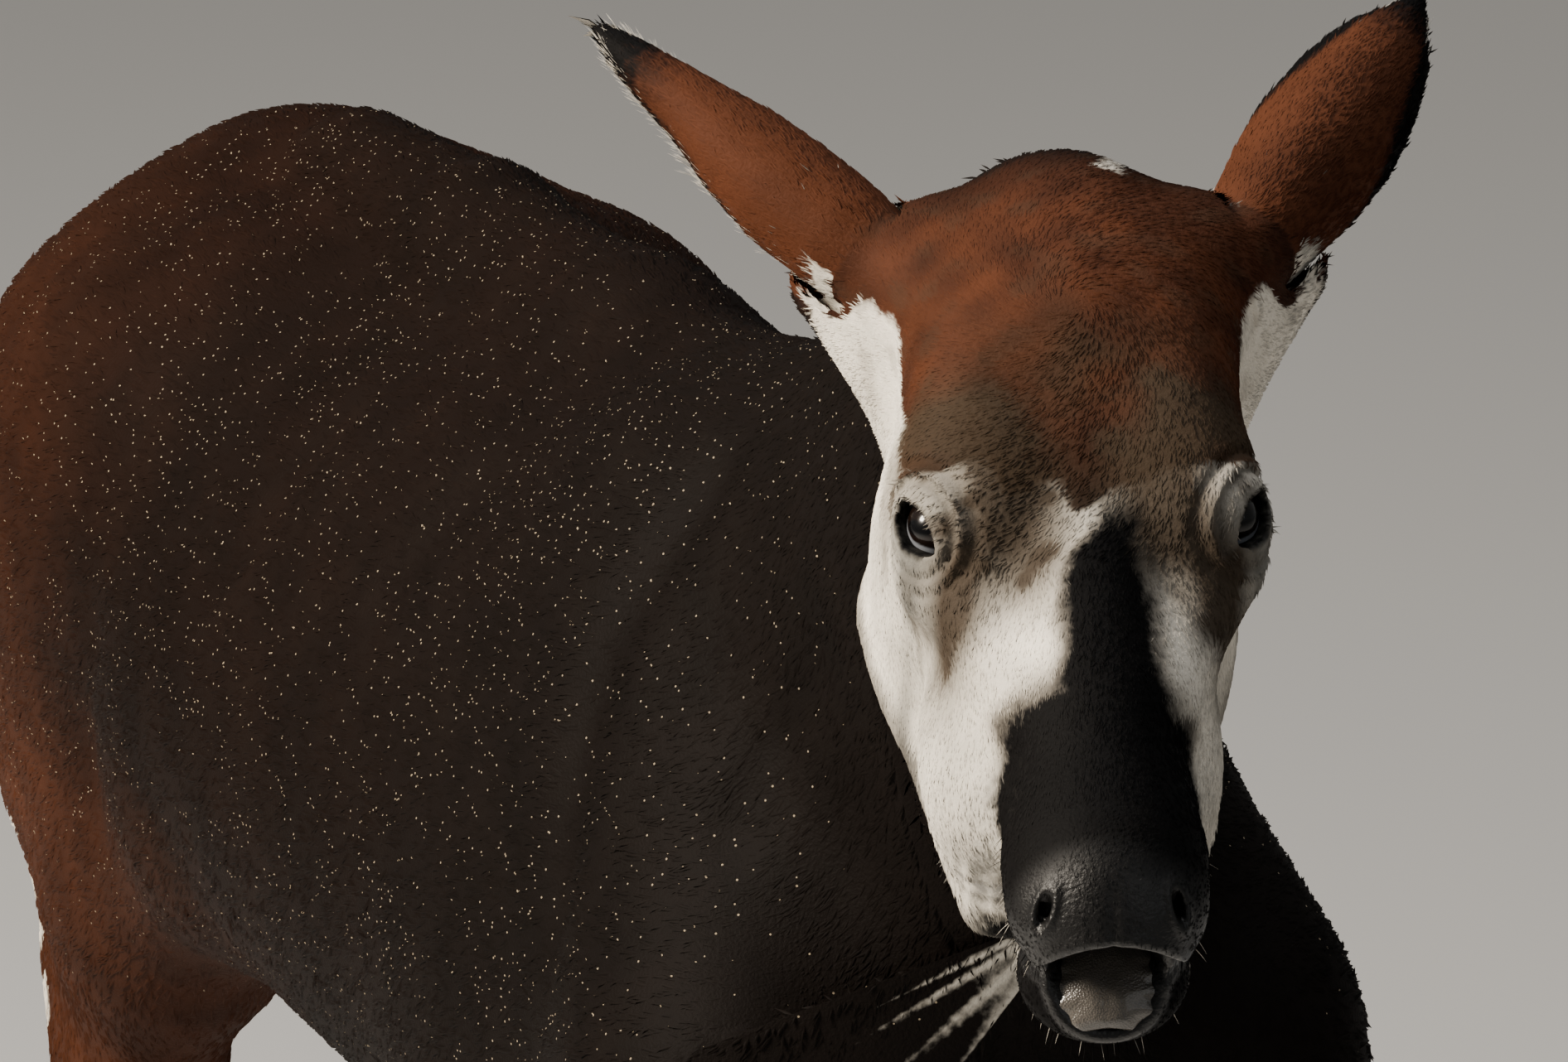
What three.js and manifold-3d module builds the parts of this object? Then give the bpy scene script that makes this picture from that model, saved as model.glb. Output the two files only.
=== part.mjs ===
import * as THREE from 'three';
import { mergeVertices } from 'three/addons/utils/BufferGeometryUtils.js';
import Module from 'manifold-3d';

const wasm = await Module();
wasm.setup();

// Okapi cow, life size, standing. Millimetres, +Z up, floor at z = 0.
// The animal faces -Y, its left side is +X, its withers are over y = 0.

// Where two parts meet
const JOINT_GAP = 0.3;
const HALF_GAP = JOINT_GAP / 2;

// Trunk: heights over the floor and places along the back
const WITHERS = { y: 0, z: 1472 };
const CROUP = { y: 840, z: 1420 };
const CHEST = { y: 150, z: 1158, halfWidth: 240, halfLength: 470, halfHeight: 284 };
const BELLY = { y: 545, z: 1126, halfWidth: 262, halfLength: 480, halfHeight: 244 };
const RUMP = { y: 835, z: 1190, halfWidth: 226, halfLength: 270, halfHeight: 176 };
const BREAST = { y: -165, z: 1135, halfWidth: 150, halfLength: 150, halfHeight: 205 };
const TRUNK_FLOOR = 864;

// Legs: half the track width and the heights of the joints
const FRONT = { y: 0, x: 122, elbow: 905, knee: 478, fetlock: 148, coronet: 66 };
const HIND = { y: 1000, x: 123, stifle: 880, hock: 492, fetlock: 150, coronet: 66 };
const LEG_CUT = 862;

// Neck
const NECK_BASE = { y: -195, z: 1375, lean: 40.4 };
const NECK_TOP = { x: -14, y: -378, z: 1616 };

// Head: the face line starts at the poll and runs to the nose
const HEAD_ORIGIN = [-20, -400, 1681];
const HEAD_YAW = -18;
const HEAD_PITCH = 62;
const HEAD_ROLL = 1;
const EYE = { along: 218, aside: 77, out: 26, radius: 21, sight: [0.5, 0.72, 0.48] };
const LID_THICKNESS = 5.5;
const NOSTRIL = { along: 478, aside: 33, out: 4, radius: 5.5 };
const JAW_SWING = 12;
const MOUTH = { corner: 352, front: 520, height: -60, drop: 14, line: 1.3, reach: 70 };
const GAPE = { centre: [500, 0, -48], radii: [60, 40, 44] };
const TONGUE = { back: 402, front: 491, height: -67, curl: 19, width: 36, thickness: 7 };

// Ears
const EAR_LENGTH = 222;
const EAR_ROOT_RADIUS = 32;
const EAR_WALL = 5;
const EAR_ROOT = { along: 22, aside: 98, out: 26 };
const EAR_AIM = { right: [0.7, 0.6, 0.4], left: [0.5, 0.79, 0.36] };
const EAR_BACK = { aside: 0.15, back: -0.55, up: 0.8 };

// Tail
const TAIL_ROOT = { y: 1138, z: 1262 };
const TAIL_LENGTH = 340;
const DOCK = { root: 26, tip: 8 };
const LOCK = {
  count: 16, rows: 4, first: 0.6, last: 0.98, length: 116, width: 14, thickness: 4.6, spread: 15, sweep: 12,
};
const GOLDEN_TURN = 2.4;

const HIDE = material(0x35221a, 0.75);
const BROWN = material(0x5a3423, 0.75);
const PALE = material(0xd9d2c4, 0.8);
const DARK_HORN = material(0x1d1a18, 0.45);
const EYE_DARK = material(0x120e0c, 0.12);
const TONGUE_GREY = material(0x6f6868, 0.35);
const TUFT_BLACK = material(0x1c1512, 0.85);

function material(color, roughness) {
  return new THREE.MeshStandardMaterial({ color, roughness, metalness: 0 });
}

// Small vector helpers on plain triples
const add = (a, b) => a.map((value, i) => value + b[i]);
const sub = (a, b) => a.map((value, i) => value - b[i]);
const scale = (a, k) => a.map((value) => value * k);
const dot = (a, b) => a[0] * b[0] + a[1] * b[1] + a[2] * b[2];
const mix = (a, b, t) => a.map((value, i) => value + (b[i] - value) * t);
const unit = (a) => scale(a, 1 / Math.hypot(...a));
const radians = (degrees) => (degrees * Math.PI) / 180;

function cross(a, b) {
  return [a[1] * b[2] - a[2] * b[1], a[2] * b[0] - a[0] * b[2], a[0] * b[1] - a[1] * b[0]];
}

const X_AXIS = [1, 0, 0];
const WORLD_AXES = [X_AXIS, [0, 1, 0], [0, 0, 1]];

// A rounded mass of muscle or bone; axes turn it, blend is how softly it joins the rest
function ellipsoid(centre, radii, blend, axes = WORLD_AXES) {
  return { round: true, centre, radii, blend, axes };
}

// A tapering limb from start to end, squeezed along its side axis by the factor flat
function limb(start, end, startRadius, endRadius, blend, flat = 1, side = X_AXIS) {
  return { start, end, startRadius, endRadius, blend, flat, side };
}

function flipX(point) {
  return [-point[0], point[1], point[2]];
}

function mirrored(shape) {
  if (shape.round) {
    return { ...shape, centre: flipX(shape.centre), axes: shape.axes.map(flipX) };
  }
  return { ...shape, start: flipX(shape.start), end: flipX(shape.end), side: flipX(shape.side) };
}

const both = (shapes) => shapes.flatMap((shape) => [shape, mirrored(shape)]);

// A turn about the X axis; a positive angle tips the top towards the tail
function tipped(degrees) {
  const c = Math.cos(radians(degrees));
  const s = Math.sin(radians(degrees));
  return [X_AXIS, [0, c, -s], [0, s, c]];
}

function ellipsoidDistance(shape, p) {
  const d = sub(p, shape.centre);
  let near = 0;
  let far = 0;
  for (let i = 0; i < 3; i += 1) {
    const part = dot(d, shape.axes[i]) / shape.radii[i];
    near += part * part;
    far += (part / shape.radii[i]) ** 2;
  }
  near = Math.sqrt(near);
  return far > 0 ? (near * (near - 1)) / Math.sqrt(far) : -Math.min(...shape.radii);
}

function limbDistance(shape, p) {
  const along = sub(shape.end, shape.start);
  const d = sub(p, shape.start);
  const t = Math.min(Math.max(dot(d, along) / dot(along, along), 0), 1);
  const off = sub(d, scale(along, t));
  const aside = dot(off, shape.side);
  const squeezed = add(off, scale(shape.side, aside * (1 / shape.flat - 1)));
  const radius = shape.startRadius + (shape.endRadius - shape.startRadius) * t;
  return (Math.hypot(...squeezed) - radius) * Math.min(shape.flat, 1);
}

// Distance to the smoothly joined body, negative inside
function skinDistance(p) {
  let value = 1e6;
  for (const shape of BODY) {
    const d = shape.round ? ellipsoidDistance(shape, p) : limbDistance(shape, p);
    const overlap = Math.max(shape.blend - Math.abs(value - d), 0) / shape.blend;
    value = Math.min(value, d) - (overlap * overlap * shape.blend) / 4;
  }
  return value;
}

// Head frame: along the face to the nose, to the animal's left, out of the face
function headAxes() {
  const pitch = radians(HEAD_PITCH);
  const roll = radians(HEAD_ROLL);
  const nose = [0, -Math.sin(pitch), -Math.cos(pitch)];
  const brow = [0, -Math.cos(pitch), Math.sin(pitch)];
  const left = add(scale(X_AXIS, Math.cos(roll)), scale(brow, Math.sin(roll)));
  const out = add(scale(X_AXIS, -Math.sin(roll)), scale(brow, Math.cos(roll)));
  return [nose, left, out].map((axis) => yawed(axis));
}

function yawed(v) {
  const c = Math.cos(radians(HEAD_YAW));
  const s = Math.sin(radians(HEAD_YAW));
  return [v[0] * c - v[1] * s, v[0] * s + v[1] * c, v[2]];
}

const HEAD = headAxes();

function onHead(along, aside, out) {
  const offset = add(scale(HEAD[0], along), add(scale(HEAD[1], aside), scale(HEAD[2], out)));
  return add(HEAD_ORIGIN, offset);
}

// A head mass: its radii run along the face, across it and out of it
function headMass(centre, radii, blend) {
  return ellipsoid(onHead(...centre), radii, blend, HEAD);
}

function headLimb(start, end, startRadius, endRadius, blend, flat = 1) {
  return limb(onHead(...start), onHead(...end), startRadius, endRadius, blend, flat, HEAD[1]);
}

function trunkShapes() {
  return [
    ellipsoid([0, CHEST.y, CHEST.z], [CHEST.halfWidth, CHEST.halfLength, CHEST.halfHeight], 60),
    ellipsoid([0, BELLY.y, BELLY.z], [BELLY.halfWidth, BELLY.halfLength, BELLY.halfHeight], 120),
    ellipsoid([0, RUMP.y, RUMP.z], [RUMP.halfWidth, RUMP.halfLength, RUMP.halfHeight], 110),
    ellipsoid([0, BREAST.y, BREAST.z], [BREAST.halfWidth, BREAST.halfLength, BREAST.halfHeight], 90),
    limb([0, -60, WITHERS.z - 78], [0, 300, 1386], 60, 56, 80, 0.62),
    limb([0, 330, 1396], [0, 600, 1388], 56, 60, 60, 0.9),
    limb([0, 600, 1384], [0, CROUP.y, CROUP.z - 66], 60, 60, 14, 0.9),
    ellipsoid([0, 20, 962], [118, 220, 92], 80),
    ellipsoid([0, 975, 1214], [160, 118, 138], 80),
    limb([0, 930, 1316], [0, 1060, 1276], 48, 32, 70),
  ];
}

function shoulderShapes() {
  return both([
    limb([92, 50, 1372], [170, -215, 1125], 60, 98, 90, 0.64),
    ellipsoid([158, 40, 1050], [66, 128, 150], 80),
    limb([160, -215, 1110], [148, 30, 920], 86, 62, 70, 0.74),
    limb([136, 92, 955], [134, 62, 870], 34, 24, 50),
  ]);
}

function frontLegShapes() {
  const x = FRONT.x;
  return both([
    limb([144, 20, FRONT.elbow], [x + 3, -6, 505], 62, 33, 50, 0.8),
    ellipsoid([138, 2, 800], [50, 66, 130], 40),
    ellipsoid([x + 2, -12, FRONT.knee], [37, 39, 60], 30),
    ellipsoid([x + 2, 30, 502], [14, 17, 26], 20),
    limb([x + 1, -6, 440], [x, -8, 172], 24, 23, 25),
    limb([x + 1, 18, 440], [x, 18, 166], 12, 13, 14),
    ellipsoid([x, 3, FRONT.fetlock], [32, 36, 37], 24),
    limb([x, -4, 130], [x, -40, 66], 29, 32, 20, 1.1),
  ]);
}

function thighShapes() {
  return both([
    ellipsoid([144, 905, 1056], [94, 185, 224], 90),
    limb([136, 820, 1150], [152, 790, 905], 98, 66, 80, 0.72),
    limb([104, 1030, 1140], [130, 985, 815], 74, 40, 70, 0.78),
    ellipsoid([156, 785, 1242], [54, 85, 54], 76),
    limb([150, 760, 930], [180, 590, 1015], 44, 34, 100),
  ]);
}

function hindLegShapes() {
  const x = HIND.x;
  return both([
    limb([150, 826, HIND.stifle - 10], [x + 4, 1002, 520], 72, 33, 60, 0.8),
    ellipsoid([140, 925, 760], [45, 74, 130], 50, tipped(18)),
    limb([x + 7, 962, 770], [x + 3, 1034, 548], 50, 32, 34, 0.5),
    ellipsoid([x + 3, 1020, HIND.hock], [34, 45, 62], 30),
    limb([x + 3, 1068, 566], [x + 2, 1046, 470], 19, 19, 24),
    limb([x + 7, 985, 800], [x + 3, 1070, 580], 36, 14, 30),
    limb([x + 2, 1022, 450], [x, 1000, 172], 28, 24, 25),
    limb([x + 2, 1050, 450], [x, 1026, 168], 13, 14, 14),
    ellipsoid([x, 1007, HIND.fetlock], [32, 37, 37], 24),
    limb([x, 1000, 132], [x, 962, 66], 29, 32, 20, 1.1),
  ]);
}

function neckShapes() {
  return [
    limb([0, -40, 1285], [0, -240, 1440], 196, 138, 90, 0.7),
    limb([0, -240, 1440], [NECK_TOP.x, NECK_TOP.y, NECK_TOP.z], 138, 108, 60, 0.68),
    limb([0, -20, 1446], [-14, -335, 1668], 40, 34, 60, 0.7),
    limb([0, -285, 1262], [-16, -418, 1490], 58, 50, 60),
  ];
}

function skullShapes() {
  return [
    headMass([92, 0, 2], [122, 76, 82], 50),
    headMass([72, 0, 30], [88, 76, 44], 44),
    headMass([8, 0, -5], [60, 62, 72], 40),
    headLimb([200, 0, 16], [446, 0, -6], 46, 37, 40, 0.92),
    headLimb([230, 0, -34], [430, 0, -32], 56, 44, 44, 0.98),
    headLimb([50, 0, -70], [200, 0, -104], 62, 42, 50),
    headMass([442, 0, -14], [63, 52, 37], 30),
    headMass([470, 0, -22], [34, 48, 26], 22),
    headLimb([330, 0, -70], [436, 0, -76], 38, 32, 26, 1.05),
    headLimb([290, 0, -108], [420, 0, -98], 30, 27, 24, 1.2),
    headMass([450, 0, -91], [42, 47, 29], 24),
  ];
}

function faceShapes() {
  return [-1, 1].flatMap((side) => [
    headMass([206, 62 * side, 34], [50, 36, 30], 36),
    headMass([120, 56 * side, 34], [90, 30, 34], 40),
    headLimb([235, 76 * side, 4], [330, 38 * side, 2], 24, 16, 32),
    headMass([166, 60 * side - JAW_SWING, -64], [84, 43, 86], 40),
    headLimb([140, 62 * side - JAW_SWING, -134], [374, 42 * side - JAW_SWING, -108], 44, 22, 34),
    headMass([318, 50 * side - JAW_SWING, -56], [72, 34, 42], 34),
    headLimb([44, 40 * side, 8], [24, 84 * side, 20], 52, 38, 40),
    headLimb([20, 66 * side, 0], [52, 58 * side, -70], 38, 34, 44),
    headLimb([46, 62 * side, -48], [4, 124 * side, 0], 44, 29, 26),
  ]);
}

const BODY = [
  ...trunkShapes(),
  ...shoulderShapes(),
  ...thighShapes(),
  ...neckShapes(),
  ...skullShapes(),
  ...faceShapes(),
  ...frontLegShapes(),
  ...hindLegShapes(),
];

// Finds the skin from an inner point along a direction; inset keeps the point under the skin
function reachSkin(origin, direction, inset, reach) {
  let inner = 0;
  let outer = 0;
  while (outer < reach) {
    const value = skinDistance(add(origin, scale(direction, outer))) + inset;
    if (value >= 0) break;
    inner = outer;
    outer += Math.max(-value * 0.7, 2);
  }
  if (outer >= reach) return add(origin, scale(direction, reach));
  for (let i = 0; i < 14; i += 1) {
    const middle = (inner + outer) / 2;
    const value = skinDistance(add(origin, scale(direction, middle))) + inset;
    if (value < 0) inner = middle;
    else outer = middle;
  }
  return add(origin, scale(direction, (inner + outer) / 2));
}

// A ring frame: centre, side axis and the second axis of its plane
function frame(centre, up, side = X_AXIS, inset = 0, reach = 900) {
  const across = unit(side);
  const level = unit(sub(up, scale(across, dot(up, across))));
  return { centre, side: across, up: level, inset, reach };
}

function between(a, b, t) {
  const centre = mix(a.centre, b.centre, t);
  const inset = a.inset + (b.inset - a.inset) * t;
  const reach = a.reach + (b.reach - a.reach) * t;
  return frame(centre, mix(a.up, b.up, t), mix(a.side, b.side, t), inset, reach);
}

// Frames from one station to the next, with the given number of steps in each stretch
function frameRun(stations, steps) {
  const frames = [stations[0]];
  for (let i = 1; i < stations.length; i += 1) {
    for (let n = 1; n <= steps[i - 1]; n += 1) {
      frames.push(between(stations[i - 1], stations[i], n / steps[i - 1]));
    }
  }
  return frames;
}

const axisOf = (ring) => cross(ring.side, ring.up);

function shifted(ring, distance) {
  return { ...ring, centre: add(ring.centre, scale(axisOf(ring), distance)) };
}

function skinRing(ring, segments) {
  const points = [];
  for (let i = 0; i < segments; i += 1) {
    const angle = (i / segments) * Math.PI * 2;
    const direction = add(scale(ring.side, Math.cos(angle)), scale(ring.up, Math.sin(angle)));
    points.push(reachSkin(ring.centre, direction, ring.inset, ring.reach));
  }
  return points;
}

function solidFrom(points, triangles) {
  const mesh = new wasm.Mesh({
    numProp: 3,
    vertProperties: new Float32Array(points.flat()),
    triVerts: new Uint32Array(triangles.flat()),
  });
  const solid = new wasm.Manifold(mesh);
  if (solid.volume() > 0) return solid;
  mesh.triVerts = mesh.triVerts.map((value, i, all) => all[i - (i % 3) + 2 - (i % 3)]);
  return new wasm.Manifold(mesh);
}

// A closed body through rings of points, closed at each end by a fan to one point
function loft(rings, startPoint, endPoint) {
  const segments = rings[0].length;
  const points = [...rings.flat(), startPoint, endPoint];
  const first = points.length - 2;
  const triangles = [];
  for (let r = 0; r + 1 < rings.length; r += 1) {
    for (let i = 0; i < segments; i += 1) {
      const a = r * segments + i;
      const b = r * segments + ((i + 1) % segments);
      triangles.push([a, b, b + segments], [a, b + segments, a + segments]);
    }
  }
  const lastRing = (rings.length - 1) * segments;
  for (let i = 0; i < segments; i += 1) {
    const next = (i + 1) % segments;
    triangles.push([next, i, first], [lastRing + i, lastRing + next, first + 1]);
  }
  return solidFrom(points, triangles);
}

function roundEnd(ring, direction) {
  return reachSkin(ring.centre, scale(axisOf(ring), direction), 0, ring.reach);
}

function skinTube(frames, segments) {
  const rings = frames.map((ring) => skinRing(ring, segments));
  return loft(rings, frames[0].centre, frames.at(-1).centre);
}

// Rings that close a rounded end: they fan from the last ring's plane to its axis
function domeRings(ring, segments, direction, steps) {
  const rings = [];
  for (let n = 1; n < steps; n += 1) {
    const tilt = (n / steps) * Math.PI * 0.5;
    rings.push(fanRing(ring, segments, direction, tilt));
  }
  return rings;
}

function fanRing(ring, segments, direction, tilt) {
  const points = [];
  const ahead = scale(axisOf(ring), direction * Math.sin(tilt));
  for (let i = 0; i < segments; i += 1) {
    const angle = (i / segments) * Math.PI * 2;
    const flat = add(scale(ring.side, Math.cos(angle)), scale(ring.up, Math.sin(angle)));
    const way = add(scale(flat, Math.cos(tilt)), ahead);
    points.push(reachSkin(ring.centre, way, 0, ring.reach));
  }
  return points;
}

// Ring stations shared by neighbouring parts
function neckBaseFrame() {
  const lean = radians(NECK_BASE.lean);
  return frame([0, NECK_BASE.y, NECK_BASE.z], [0, Math.sin(lean), Math.cos(lean)]);
}

function headBaseFrame() {
  const up = add(scale(HEAD[0], -0.515), scale(HEAD[2], 0.858));
  return frame(onHead(44, 0, -70), up, HEAD[1]);
}

function tailBaseFrame() {
  return frame([0, TAIL_ROOT.y, TAIL_ROOT.z], [0, 0.6, 0.8]);
}

// Ring stations down a leg, from inside the trunk to the coronet
function legStations(leg, side) {
  const x = side;
  const down = [0, 1, 0];
  if (leg === 'front') {
    return [
      frame([146 * x, 25, 985], down, X_AXIS, 10, 118),
      frame([145 * x, 22, 930], down, X_AXIS, 4, 118),
      frame([142 * x, 18, 895], down, X_AXIS, 0, 112),
      frame([140 * x, 16, LEG_CUT], down, X_AXIS, 0, 108),
      frame([136 * x, 6, 700], down),
      frame([131 * x, 0, 600], down),
      frame([(FRONT.x + 2) * x, 4, 500], down),
      frame([(FRONT.x + 1) * x, 4, 420], down),
      frame([FRONT.x * x, 6, 200], down),
      frame([FRONT.x * x, 4, FRONT.fetlock], down),
      frame([FRONT.x * x, -36, FRONT.coronet], [0, 0.94, -0.34]),
    ];
  }
  return [
    frame([146 * x, 895, 985], down, X_AXIS, 10, 215),
    frame([146 * x, 895, 930], down, X_AXIS, 4, 215),
    frame([146 * x, 895, 895], down, X_AXIS, 0, 215),
    frame([144 * x, 897, LEG_CUT], down, X_AXIS, 0, 215),
    frame([134 * x, 940, 700], down, X_AXIS, 0, 200),
    frame([132 * x, 984, 620], down, X_AXIS, 0, 200),
    frame([(HIND.x + 4) * x, 1020, 510], down, X_AXIS, 0, 200),
    frame([(HIND.x + 2) * x, 1034, 420], down),
    frame([HIND.x * x, 1012, 200], down),
    frame([HIND.x * x, 1006, HIND.fetlock], down),
    frame([HIND.x * x, 966, HIND.coronet], [0, 0.94, -0.34]),
  ];
}

const LEG_SEGMENTS = 12;
const CUT_STATION = 3;

function legStub(leg, side) {
  const frames = frameRun(legStations(leg, side).slice(0, CUT_STATION + 1), [1, 2, 1]);
  const last = frames.length - 1;
  frames[last] = { ...frames[last], centre: add(frames[last].centre, [0, 0, HALF_GAP]) };
  return skinTube(frames, LEG_SEGMENTS);
}

function lowerLeg(leg, side) {
  const frames = frameRun(legStations(leg, side).slice(CUT_STATION), [4, 3, 3, 3, 4, 3, 3]);
  frames[0] = { ...frames[0], centre: add(frames[0].centre, [0, 0, -HALF_GAP]) };
  return skinTube(frames, LEG_SEGMENTS);
}

// The hoof: from the coronet down to a flat sole, cleft in front into two claws
function hoof(leg, side) {
  const top = legStations(leg, side).at(-1);
  const start = { ...top, centre: add(top.centre, scale([0, -0.34, -0.94], JOINT_GAP)) };
  const crown = skinRing(start, LEG_SEGMENTS * 2);
  const middle = crown.map((point, i) => hoofPoint(point, top.centre, i, 0.5, 32));
  const sole = crown.map((point, i) => hoofPoint(point, top.centre, i, 1, 0));
  const centre = [top.centre[0], top.centre[1] - 10, 0];
  return loft([crown, middle, sole], start.centre, centre).subtract(cleft(top.centre));
}

function hoofPoint(point, centre, index, spread, height) {
  const angle = (index / (LEG_SEGMENTS * 2)) * Math.PI * 2;
  const forward = Math.max(-Math.sin(angle), 0);
  const across = Math.cos(angle);
  const x = centre[0] + across * (38 + 14 * spread) * (1 - 0.28 * forward ** 3 * spread);
  const length = Math.sin(angle) < 0 ? 46 + 30 * spread : 40 + 6 * spread;
  return [x, centre[1] + Math.sin(angle) * length - 8 * spread, height];
}

// A wedge between the two claws, widest at the toe and closing below the coronet
function cleft(centre) {
  const [x, y] = centre;
  const rings = [
    { z: -20, heel: y + 12, narrow: 2, wide: 6 },
    { z: 46, heel: y - 34, narrow: 1, wide: 3 },
  ].map(({ z, heel, narrow, wide }) => [
    [x - narrow, heel, z],
    [x + narrow, heel, z],
    [x + wide, y - 100, z],
    [x - wide, y - 100, z],
  ]);
  return loft(rings, [x, y - 40, -20], [x, y - 60, 46]);
}

const TRUNK_SEGMENTS = 36;

function trunk() {
  const vertical = [0, 0, 1];
  const stations = [
    shifted(neckBaseFrame(), -HALF_GAP),
    frame([0, 60, 1230], vertical),
    frame([0, 800, 1180], vertical),
    frame([0, 960, 1185], vertical),
  ];
  const frames = frameRun(stations, [9, 12, 3]);
  const last = frames.at(-1);
  const rings = frames.map((ring) => skinRing(ring, TRUNK_SEGMENTS));
  rings.push(...domeRings(last, TRUNK_SEGMENTS, -1, 8));
  return loft(rings.map((ring) => ring.map(aboveLegs)), frames[0].centre, roundEnd(last, -1));
}

// Skin points of the trunk stop at its underside; the legs go on below it
function aboveLegs(point) {
  return [point[0], point[1], Math.max(point[2], TRUNK_FLOOR)];
}

function tailStub() {
  const rings = [-90, -40, -HALF_GAP].map((depth) => rootRing(depth));
  const base = tailBaseFrame();
  const end = (depth) => add(base.centre, scale(axisOf(base), -depth));
  return loft(rings, end(-90), end(-HALF_GAP));
}

function rootRing(depth) {
  const base = tailBaseFrame();
  const ring = [];
  for (let i = 0; i < 16; i += 1) {
    const angle = (i / 16) * Math.PI * 2;
    const offset = add(scale(base.side, Math.cos(angle) * 30), scale(base.up, Math.sin(angle) * 30));
    ring.push(add(add(base.centre, scale(axisOf(base), -depth)), offset));
  }
  return ring;
}

function torso() {
  let body = trunk().add(tailStub());
  for (const leg of ['front', 'hind']) {
    for (const side of [-1, 1]) body = body.add(legStub(leg, side));
  }
  return body;
}

function neck() {
  const stations = [shifted(headBaseFrame(), -HALF_GAP), shifted(neckBaseFrame(), HALF_GAP)];
  return skinTube(frameRun(stations, [9]), 32).subtract(earSleeve(-1)).subtract(earSleeve(1));
}

function headFrames() {
  const up = HEAD[2];
  const stations = [
    shifted(headBaseFrame(), HALF_GAP),
    frame(onHead(190, 0, -34), up, HEAD[1]),
    frame(onHead(330, 0, -34), up, HEAD[1]),
    frame(onHead(425, 0, -40), up, HEAD[1]),
  ];
  return frameRun(stations, [11, 8, 6]);
}

const HEAD_SEGMENTS = 36;

function headSkin() {
  const frames = headFrames();
  const last = frames.at(-1);
  const rings = frames.map((ring) => skinRing(ring, HEAD_SEGMENTS));
  rings.push(...domeRings(last, HEAD_SEGMENTS, 1, 9));
  return loft(rings, frames[0].centre, roundEnd(last, 1));
}

function eyeCentre(side) {
  return onHead(EYE.along, EYE.aside * side, EYE.out);
}

function ball(centre, radius, segments) {
  const rows = segments / 2;
  const rings = [];
  for (let r = 1; r < rows; r += 1) {
    const polar = (r / rows) * Math.PI;
    const ring = [];
    for (let i = 0; i < segments; i += 1) {
      const angle = (i / segments) * Math.PI * 2;
      const flat = Math.sin(polar) * radius;
      ring.push(add(centre, [Math.cos(angle) * flat, Math.sin(angle) * flat, Math.cos(polar) * radius]));
    }
    rings.push(ring);
  }
  return loft(rings, add(centre, [0, 0, radius]), add(centre, [0, 0, -radius]));
}

// Almond opening between the lids, driven outwards along the eye's line of sight
function lidOpening(side) {
  const centre = eyeCentre(side);
  const [forward, outward, upward] = EYE.sight;
  const level = add(scale(HEAD[0], forward), scale(HEAD[2], upward));
  const sight = unit(add(level, scale(HEAD[1], outward * side)));
  const slant = add(scale(HEAD[0], 0.88), scale(HEAD[1], -0.42 * side));
  const long = unit(sub(slant, scale(sight, dot(slant, sight))));
  const short = unit(cross(sight, long));
  const rings = [4, 44].map((depth) => almond(add(centre, scale(sight, depth)), long, short));
  return loft(rings, add(centre, scale(sight, 4)), add(centre, scale(sight, 44)));
}

function almond(centre, long, short) {
  const points = [];
  for (let i = 0; i < 24; i += 1) {
    const angle = (i / 24) * Math.PI * 2;
    const reach = Math.cos(angle) * 21;
    const height = Math.sin(angle) * 13.5 * (1 - 0.35 * Math.abs(Math.cos(angle)));
    points.push(add(centre, add(scale(long, reach), scale(short, height))));
  }
  return points;
}

// The line of the mouth: a thin flat cut from the corner of the lips to the front
function mouthLine() {
  const rings = [];
  const steps = 8;
  for (let n = 0; n <= steps; n += 1) {
    const t = n / steps;
    const along = MOUTH.corner + (MOUTH.front - MOUTH.corner) * t;
    const middle = MOUTH.height - MOUTH.drop * (1 - t);
    const ring = [];
    for (let i = 0; i < 20; i += 1) {
      const angle = (i / 20) * Math.PI * 2;
      const droop = -10 * Math.cos(angle) ** 2;
      const aside = Math.cos(angle) * MOUTH.reach;
      ring.push(onHead(along, aside, middle + droop + Math.sin(angle) * MOUTH.line));
    }
    rings.push(ring);
  }
  const start = onHead(MOUTH.corner, 0, MOUTH.height - MOUTH.drop);
  return loft(rings, start, onHead(MOUTH.front, 0, MOUTH.height));
}

// The round opening between the parted lips
function gape() {
  const [long, wide, high] = GAPE.radii;
  const [along, aside, out] = GAPE.centre;
  const rows = 10;
  const segments = 20;
  const rings = [];
  for (let r = 1; r < rows; r += 1) {
    const polar = (r / rows) * Math.PI;
    const ring = [];
    for (let i = 0; i < segments; i += 1) {
      const angle = (i / segments) * Math.PI * 2;
      const across = Math.cos(angle) * Math.sin(polar) * wide;
      const up = Math.sin(angle) * Math.sin(polar) * high;
      ring.push(onHead(along - Math.cos(polar) * long, aside + across, out + up));
    }
    rings.push(ring);
  }
  return loft(rings, onHead(along - long, aside, out), onHead(along + long, aside, out));
}

// The tongue lies on the lower jaw; clearance makes the larger body that the head is cut with
function tongue(clearance = 0) {
  const steps = 10;
  const length = TONGUE.front - TONGUE.back + 2 * clearance;
  const at = (t) => TONGUE.back - clearance + length * t;
  const centre = (t) => TONGUE.height - TONGUE.curl * t ** 4;
  const rings = [];
  for (let n = 0; n <= steps; n += 1) {
    const t = n / steps;
    const width = TONGUE.width * Math.sqrt(1 - 0.94 * t ** 6) * (0.8 + 0.2 * t) + clearance;
    const thick = TONGUE.thickness * (1 - 0.45 * t) + clearance;
    const ring = [];
    for (let i = 0; i < 16; i += 1) {
      const angle = (i / 16) * Math.PI * 2;
      ring.push(onHead(at(t), Math.cos(angle) * width, centre(t) + Math.sin(angle) * thick));
    }
    rings.push(ring);
  }
  return loft(rings, onHead(at(0), 0, centre(0)), onHead(at(1), 0, centre(1)));
}

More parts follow.
